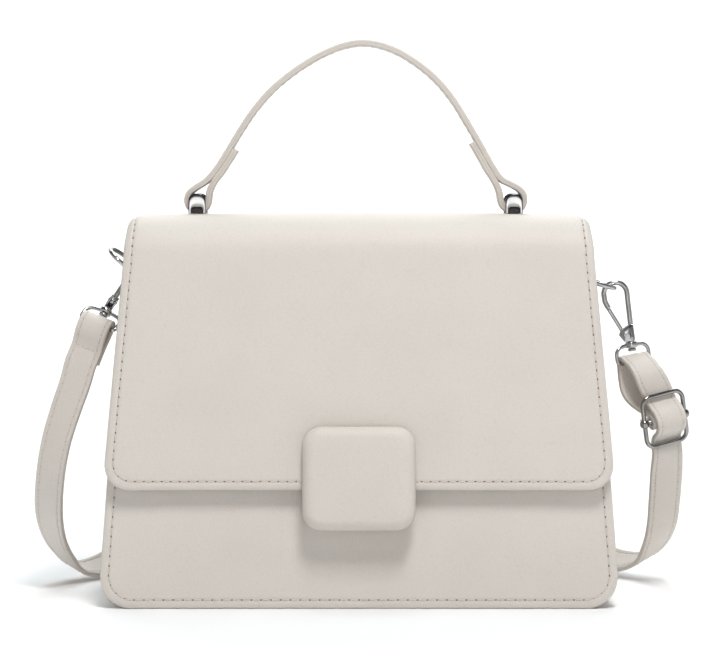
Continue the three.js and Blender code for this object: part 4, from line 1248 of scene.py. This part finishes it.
def add_handle():
    """A two-layer band on the handle's line, stitched near both edges of both faces along its arch."""
    flat = handle_line()
    points = np.stack([flat[:, 0], np.zeros(len(flat)), flat[:, 1]], axis=-1)
    widths = np.tile([0.0, 1.0, 0.0], (len(points), 1))
    shape = band(points, widths, HANDLE_WIDTH, HANDLE_THICKNESS)
    add_piece("handle_leather", shape, BAND_SKIN, replaces=["handle"])
    marks = travel(points)
    start = marks[np.argmin(np.linalg.norm(flat - HANDLE_ARCH[0], axis=1))]
    end = marks[np.argmin(np.linalg.norm(flat - HANDLE_ARCH[-1], axis=1))]
    arch = (marks >= start) & (marks <= end)
    lines = band_seams(points[arch], widths[arch], HANDLE_WIDTH, HANDLE_THICKNESS)
    add_band_seam("handle", lines, HANDLE_PITCH)


def bridge_arch(half_width, top, radius):
    """The line of an arch on the bridge's foot: up, across and down, with round corners, as (x, z)."""
    corners = [
        (-half_width, BRIDGE_FOOT, 0), (-half_width, top, radius),
        (half_width, top, radius), (half_width, BRIDGE_FOOT, 0),
    ]
    return rounded_line(corners, steps=12)


def add_bridge(side):
    """Two arched legs and the bar between them. A leg is a rounded section carried between an outer
    and an inner arch, and dark along the outer one: a painted dark reflection."""
    x = BRIDGE_X[side]
    outer = evenly(bridge_arch(BRIDGE_LEG_WIDTH / 2, BRIDGE_TOP, BRIDGE_TOP_ROUND), BRIDGE_STEP)
    notch = bridge_arch(BRIDGE_NOTCH_WIDTH / 2, BRIDGE_FOOT + BRIDGE_NOTCH_HEIGHT, BRIDGE_NOTCH_ROUND)
    inner = at_distance(notch, notch, np.linspace(0, travel(notch)[-1], len(outer)))
    square = soft_square(48, 0.5)
    across = 0.5 + 0.5 * square[:, :1]
    depth = BRIDGE_LEG_THICKNESS / 2 * square[:, 1]
    # Painted dark reflection along the outer arch
    painted_reflection = 1 - smoothstep(across[:, 0], *BRIDGE_PAINTED_REFLECTION_EDGE)
    flat = outer[:, None] * (1 - across) + inner[:, None] * across
    leg_y = HANDLE_WIDTH / 2 + PIECE_GAP + BRIDGE_PLAY + BRIDGE_LEG_THICKNESS / 2
    shapes = []
    for sign in (-1, 1):
        y = np.broadcast_to(sign * leg_y + depth, flat.shape[:2])
        grid = np.stack([x + flat[..., 0], y, flat[..., 1]], axis=-1)
        shapes.append(closed_shape(capped(grid), rim=painted_reflection))
    width, height = BRIDGE_BAR
    section = rounded_box(width / 2, height / 2, BRIDGE_BAR_ROUND, 8)
    line = np.array([[x, -leg_y, BRIDGE_Z], [x, leg_y, BRIDGE_Z]])
    side_way = np.tile([1.0, 0.0, 0.0], (2, 1))
    up = np.tile([0.0, 0.0, 1.0], (2, 1))
    shapes.append(sweep(line, side_way, up, section))
    add_piece(f"handle_bridge_{side}_metal", joined(shapes), BRIDGE_METAL,
              replaces=[f"handle_bridge_{side}"])
    # A dark plate set into each notch: painted shadow
    axes = Axes((x, 0, 0), (1, 0, 0), (0, 1, 0), (0, 0, 1))
    notch_painted_shadows = [
        plate(inner[::2], axes, y - NOTCH_SHADOW_HALF_DEPTH, y + NOTCH_SHADOW_HALF_DEPTH, NOTCH_SHADOW_BEVEL)
        for y in (NOTCH_SHADOW_INSET - leg_y, leg_y - NOTCH_SHADOW_INSET)
    ]
    add_piece(f"handle_bridge_{side}_notch_painted_shadow", joined(notch_painted_shadows), NOTCH_SHADOW)


# Side rings
def ring_axes(side):
    """The frame of a side ring: x out from the bag along the ring, z along its straight bar."""
    sign, tilt, roll = RING_TURN[side]
    tilt, roll = math.radians(tilt), math.radians(roll)
    out = np.array([sign * math.cos(tilt), 0, math.sin(tilt)])
    level = np.array([0.0, 1.0, 0.0])
    bar = level * math.cos(roll) + np.cross(out, level) * math.sin(roll)
    return Axes((sign * RING_BAR_X, 0, RING_BAR_Z), out, np.cross(bar, out), bar)


def add_side_ring(side):
    """A round wire along a straight bar, out along two sides, and round a bow of almost half a circle."""
    half, bow = RING_HALF_WIDTH, RING_HALF_WIDTH - RING_BOW_FLAT
    corners = [
        (0, -half, RING_CORNER), (RING_LENGTH, -half, bow),
        (RING_LENGTH, half, bow), (0, half, RING_CORNER),
    ]
    shape = flat_wire(rounded_line(corners, True, 20), ring_axes(side), RING_WIRE, closed=True)
    add_piece(f"d_ring_{side}_metal", shape, METAL, replaces=[f"d_ring_{side}"])


def gusset_middle_x(z):
    """The gusset's outer face at its middle line, at a height: the body's side, less inset and dent."""
    dent = GUSSET_DENT * smoothstep(np.asarray(z, float), DENT_FROM, DENT_TO)
    return body_half_width(z) - GUSSET_INSET - dent


def add_ring_tab(side):
    """A strip folded over the ring's bar: up the gusset, half round the bar, and down again."""
    axes = ring_axes(side)
    sign = RING_TURN[side][0]
    turn = RING_WIRE + PIECE_GAP + TAB_PLAY + TAB_THICKNESS / 2
    z = RING_BAR_Z - TAB_LENGTH + np.array(TAB_ROWS)
    x = gusset_middle_x(z) + TAB_STAND + TAB_THICKNESS / 2
    angles = np.radians([180, 135, 90, 45, 0])
    fold_x, fold_z = RING_BAR_X + turn * np.cos(angles), RING_BAR_Z + turn * np.sin(angles)
    outer_x = x[::-1] + TAB_THICKNESS + PIECE_GAP
    keys = np.stack([
        np.concatenate([x, fold_x, outer_x]),
        np.concatenate([z, fold_z, z[::-1]]),
    ], axis=-1)
    steps = 8
    flat = spline(keys, steps)
    share = np.interp(np.arange(len(flat)) / steps, TAB_TURN_KEYS, [0, 1, 1, 0])[:, None]
    widths = np.array([0.0, 1.0, 0.0]) * (1 - share) + axes.z * share
    points = np.stack([sign * flat[:, 0], np.zeros(len(flat)), flat[:, 1]], axis=-1)
    shape = band(points, widths, TAB_WIDTH, TAB_THICKNESS, seams=False)
    add_piece(f"ring_tab_{side}_leather", shape, BAND_SKIN, replaces=[f"ring_tab_{side}"])


# Snap hooks
JOINTS = {joint["name"]: joint for joint in frame["joints"]}


def hook_axes(side):
    """The frame of a hook from its two joints: z up the swivel, y along the gate's pin."""
    swivel, gate = JOINTS[f"hook_swivel_{side}"], JOINTS[f"gate_swing_{side}"]
    up = unit(np.array(swivel["axis"], float))
    y = unit(np.array(gate["axis"], float))
    collar = np.array(swivel["pos_m"], float) / MM
    return Axes(collar - up * (COLLAR_TOP - COLLAR_HEIGHT / 2), np.cross(y, up), y, up)


def add_hook(side):
    """A bent wire on a forked foot: the wire runs up the spine, over a half circle and down to the nose.
    Two web plates leave a slot for the gate, and the post under them ends in a riveted head."""
    axes = hook_axes(side)
    eye = np.array([HOOK_EYE_X, HOOK_WIRE - HOOK_EYE_RADIUS])
    angles = np.radians(np.linspace(0, 180, 37))
    arc = eye + HOOK_EYE_RADIUS * np.stack([np.cos(angles), np.sin(angles)], axis=-1)
    bend = evenly(np.vstack([HOOK_SPINE_FOOT, arc, HOOK_NOSE]), HOOK_STEP)
    half, slot = HOOK_WEB_THICKNESS / 2, HOOK_SLOT / 2
    web = rounded_line([(x, z, HOOK_WEB_ROUND) for x, z in HOOK_WEB], True, 6)
    back = rounded_line([(x, z, HOOK_BACK_ROUND) for x, z in HOOK_BACK], True, 6)
    head_top = COLLAR_TOP - COLLAR_HEIGHT - PIECE_GAP
    post = rod_profile(HOOK_POST_RADIUS, head_top - HOOK_POST_SUNK, HOOK_POST_TOP, HOOK_POST_BEVEL)
    head = rod_profile(HOOK_POST_HEAD, head_top - HOOK_HEAD_HEIGHT, head_top, HOOK_HEAD_BEVEL)
    pin = rod_profile(HOOK_PIN_RADIUS, -half - HOOK_PIN_PROUD, half + HOOK_PIN_PROUD, HOOK_PIN_BEVEL)
    pin_at = axes.place(GATE_PIN[0], 0, GATE_PIN[1])
    shapes = [
        flat_wire(bend, axes, HOOK_WIRE, round_ends=HOOK_END_DOME),
        plate(web, axes, slot, half, HOOK_BEVEL),
        plate(web, axes, -half, -slot, HOOK_BEVEL),
        plate(back, axes, -half, half, HOOK_BEVEL),
        lathe(axes.origin, axes.z, post),
        lathe(axes.origin, axes.z, head),
        lathe(pin_at, axes.y, pin),
    ]
    add_piece(f"hook_body_{side}_metal", joined(shapes), METAL,
              body=f"hook_{side}", replaces=[f"hook_body_{side}"])


def add_gate(side):
    """The hook's lever: a flat rounded bar from its eye on the pin to just under the nose."""
    hook = hook_axes(side)
    lean = math.radians(GATE_LEAN)
    up = hook.z * math.cos(lean) - hook.x * math.sin(lean)
    across = hook.x * math.cos(lean) + hook.z * math.sin(lean)
    origin = hook.place(GATE_PIN[0], 0, GATE_PIN[1])
    rows = 24
    line = origin + np.linspace(GATE_START, GATE_LENGTH, rows)[:, None] * up
    section = soft_square(24, 0.6) * np.array(GATE_SECTION)
    bar = sweep(line, np.tile(across, (rows, 1)), np.tile(hook.y, (rows, 1)), section)
    half_depth = GATE_SECTION[1]
    eye = lathe(origin, hook.y, rod_profile(GATE_EYE_RADIUS, -half_depth, half_depth, GATE_EYE_BEVEL))
    add_piece(f"hook_gate_{side}_metal", joined([bar, eye]), METAL,
              body=f"gate_{side}", replaces=[f"hook_gate_{side}"])


def strap_axes(origin, along, wide):
    """The frame of the strap beside a bar: x across its width, y out of its front face, z along it."""
    width = unit(np.asarray(wide, float))
    along = np.asarray(along, float)
    down = unit(along - width * (along @ width))
    return Axes(origin, width, np.cross(down, width), down)


def strap_on_ring(side):
    """The strap's frame on a hook's swivel ring, where its width lies along the ring's bar."""
    hook = hook_axes(side)
    wide = np.array(STRAP_ON_RING[side]["wide"])
    level = wide - hook.z * (wide @ hook.z)
    return strap_axes(hook.origin + hook.z * SWIVEL_BAR_Z, STRAP_ON_RING[side]["along"], level)


def add_swivel_ring(side):
    """A wire bow with a straight bar, its ends in a bored collar: the collar is a bevelled half section
    turned about the swivel's axis."""
    hook = hook_axes(side)
    width = strap_on_ring(side).x
    axes = Axes(hook.origin, width, np.cross(hook.z, width), hook.z)
    low, high = COLLAR_TOP - COLLAR_HEIGHT, COLLAR_TOP
    half = SWIVEL_HALF_WIDTH
    arm = [
        (-SWIVEL_ARM_X, (low + high) / 2, 0),
        (-half, SWIVEL_SHOULDER_Z, SWIVEL_SHOULDER_ROUND),
        (-half, SWIVEL_BAR_Z, SWIVEL_CORNER),
    ]
    other_arm = [(-x, z, radius) for x, z, radius in arm[::-1]]
    bow = rounded_line([*arm, *other_arm], steps=14)
    edge = COLLAR_RADIUS - COLLAR_BEVEL
    collar = [
        (COLLAR_BORE, low), (edge, low), (COLLAR_RADIUS, low + COLLAR_BEVEL),
        (COLLAR_RADIUS, high - COLLAR_BEVEL), (edge, high), (COLLAR_BORE, high), (COLLAR_BORE, low),
    ]
    shapes = [flat_wire(evenly(bow, HOOK_STEP), axes, SWIVEL_WIRE), lathe(hook.origin, hook.z, collar)]
    add_piece(f"swivel_ring_{side}_metal", joined(shapes), METAL,
              replaces=[f"swivel_ring_{side}"])


# Shoulder strap
SLIDER = strap_axes(SLIDER_AT, SLIDER_ALONG, SLIDER_WIDE)


def beside_bar(axes, rows):
    """The strap's points and width directions beside a bar, from rows of (along, front) or
    (along, front, side)."""
    rows = np.array(rows, float)
    side = rows[:, 2] if rows.shape[1] > 2 else 0
    return axes.place(side, rows[:, 1], rows[:, 0]), np.tile(axes.x, (len(rows), 1))


def hanging(sign, rows):
    """The hanging strap's points and width directions, mirrored to one side of the bag."""
    mirror = np.array([sign, 1, 1])
    rows = np.array(rows, float)
    return rows[:, :3] * mirror, rows[:, 3:] * mirror


def floor_run():
    """The strap on the floor behind the bag, on its edge: two straight legs and a half turn."""
    half, z = STRAP_FLOOR_HALF_WIDTH, STRAP_FLOOR_Z
    angles = np.linspace(0, math.pi, 27)
    x = np.concatenate([[half], half * np.cos(angles), [-half]])
    y = np.concatenate([[STRAP_LEG_START], STRAP_LEG_END + half * np.sin(angles), [STRAP_LEG_START]])
    return np.stack([x, y, np.full(len(x), z)], axis=-1), np.tile([0.0, 0.0, 1.0], (len(x), 1))


def strap_line():
    """The whole strap: sewn round the slider's bar, folded on the right ring, through the slider, down,
    round behind the bag, and up to the fold on the left ring. Gives points and the width's directions."""
    left = strap_on_ring("left")
    # The strap comes to the left ring from behind, so its width points the other way there
    left.x = -left.x
    runs = [
        beside_bar(SLIDER, STRAP_SEWN_END),
        beside_bar(strap_on_ring("right"), STRAP_RIGHT_FOLD),
        beside_bar(SLIDER, STRAP_THROUGH_SLIDER),
        hanging(1, STRAP_HANG_RIGHT),
        floor_run(),
        tuple(rows[::-1] for rows in hanging(-1, STRAP_HANG_LEFT)),
        beside_bar(left, STRAP_LEFT_FOLD),
    ]
    keys = np.vstack([run[0] for run in runs])
    wide = np.vstack([run[1] for run in runs])
    steps = 12
    points = spline(keys, steps)
    marks = np.arange(len(points)) / steps
    widths = np.stack([np.interp(marks, np.arange(len(wide)), column) for column in wide.T], axis=-1)
    length = travel(points)[-1]
    places = np.linspace(0, length, int(length / STRAP_STEP))
    return at_distance(points, points, places), at_distance(points, widths, places)


def add_strap():
    """A two-layer band on the strap's line, stitched near both edges of both faces, and the seam
    across the fold on its left end."""
    points, widths = strap_line()
    shape = band(points, widths, STRAP_WIDTH, STRAP_THICKNESS)
    add_piece("shoulder_strap_leather", shape, BAND_SKIN, replaces=["shoulder_strap"])
    seams = band_seams(points, widths, STRAP_WIDTH, STRAP_THICKNESS)
    add_band_seam("shoulder_strap", seams, STRAP_PITCH)
    left = strap_on_ring("left")
    reach = STRAP_WIDTH / 2 - BAND_SEAM_INSET
    across = np.linspace(-reach, reach, 12)
    along, front = STRAP_FOLD_SEAM
    line = left.place(across, front + STRAP_THICKNESS / 2 - STRAP_FOLD_SEAM_SUNK, along)
    add_band_seam("strap_fold", [(line, np.tile(left.y, (len(line), 1)))], FOLD_PITCH)


def add_slider():
    """A closed wire frame, and the bar across it with a ball eye on each side wire."""
    axes = Axes(SLIDER.origin, SLIDER.x, -SLIDER.y, -SLIDER.z)
    half = SLIDER_HALF_WIDTH
    outline = rounded_box(half, SLIDER_HALF_HEIGHT, SLIDER_CORNER, 14)
    wire = flat_wire(outline, axes, SLIDER_WIRE, closed=True)
    add_piece("slider_frame_metal", wire, BUCKLE_METAL, replaces=["slider_frame"])
    turn = np.radians(np.linspace(-90, 90, 17))
    ball = np.stack([SLIDER_EYE * np.cos(turn), SLIDER_EYE * np.sin(turn)], axis=-1)
    ball[[0, -1], 0] = 0
    shapes = [lathe(axes.origin, axes.x, rod_profile(SLIDER_WIRE, -half, half, SLIDER_BEVEL))]
    shapes += [lathe(axes.origin + sign * half * axes.x, axes.x, ball) for sign in (-1, 1)]
    add_piece("slider_bar_metal", joined(shapes), BUCKLE_METAL, replaces=["slider_bar"])


# Pieces
for panel_side in ("front", "back"):
    add_panel(panel_side)
add_gusset()
add_flap()
add_clasp_block()
add_clasp_magnet()
add_handle()
for hand in ("left", "right"):
    add_bridge(hand)
    add_ring_tab(hand)
    add_side_ring(hand)
    add_hook(hand)
    add_gate(hand)
    add_swivel_ring(hand)
add_strap()
add_slider()


# Stage
def add_floor():
    """A pale sweep: flat under the bag, and curving up far behind it."""
    corners = [(-FLOOR_REACH, 0, 0), (FLOOR_BACK, 0, FLOOR_BEND), (FLOOR_BACK, FLOOR_TOP, 0)]
    flat = rounded_line(corners, steps=24)
    x = np.linspace(-FLOOR_REACH, FLOOR_REACH, 2)
    grid = np.stack([np.broadcast_to(x[:, None], (2, len(flat))),
                     np.broadcast_to(flat[:, 0], (2, len(flat))),
                     np.broadcast_to(flat[:, 1], (2, len(flat)))], axis=-1)
    mesh = bpy.data.meshes.new("floor")
    mesh.from_pydata((grid.reshape(-1, 3) * MM).tolist(), [], grid_faces(2, len(flat)).tolist())
    mesh.shade_smooth()
    finish = Finish("pale_floor")
    cloud = finish.noise(FLOOR_CLOUD_SCALE)
    finish.set(Base_Color=finish.mix(cloud, FLOOR_LIGHT, FLOOR_SHADE), Roughness=0.85 + cloud * 0.1)
    finish.set(Specular_IOR_Level=0.1)
    mesh.materials.append(finish.material)
    floor = bpy.data.objects.new("floor", mesh)
    bpy.context.scene.collection.objects.link(floor)


def add_lamp(name, at, aim, size, power, colour):
    """A soft square lamp at a place in metres, turned to face a point."""
    lamp = bpy.data.lights.new(name, "AREA")
    lamp.shape = "SQUARE"
    lamp.size = size
    lamp.energy = power
    lamp.color = colour
    holder = bpy.data.objects.new(name, lamp)
    bpy.context.scene.collection.objects.link(holder)
    holder.location = at
    direction = Vector(aim) - Vector(at)
    holder.rotation_euler = direction.to_track_quat("-Z", "Y").to_euler()


def add_world():
    """A pale room: light walls all round, and a dim ceiling that the metal shows as dark lines."""
    world = bpy.data.worlds.new("studio")
    world.use_nodes = True
    nodes = Nodes(world.node_tree)
    direction = nodes.add("ShaderNodeTexCoord", output="Generated")
    height = nodes.add("ShaderNodeVectorMath", {"operation": "DOT_PRODUCT"},
                       {0: direction, 1: (0, 0, 1)}, output="Value")
    background = nodes.tree.nodes["Background"]
    background.inputs["Color"].default_value = (1, 1, 1, 1)
    nodes.feed(background.inputs["Strength"],
               WALL_LIGHT - (WALL_LIGHT - CEILING_LIGHT) * nodes.step(height, *WALL_TOP))
    bpy.context.scene.world = world


def add_camera():
    """A long lens in front of the bag, a little above the flap and turned down by a small angle."""
    camera = bpy.data.objects.new("camera", bpy.data.cameras.new("camera"))
    bpy.context.scene.collection.objects.link(camera)
    camera.location = [value * MM for value in CAMERA_AT]
    camera.rotation_euler = (math.radians(90 - CAMERA_DROP), 0, 0)
    camera.data.lens = CAMERA_LENS
    camera.data.sensor_width = CAMERA_SENSOR
    bpy.context.scene.camera = camera


add_floor()
add_world()
for lamp_row in LAMPS:
    add_lamp(*lamp_row)
add_camera()
bpy.context.scene.view_settings.view_transform = "Standard"
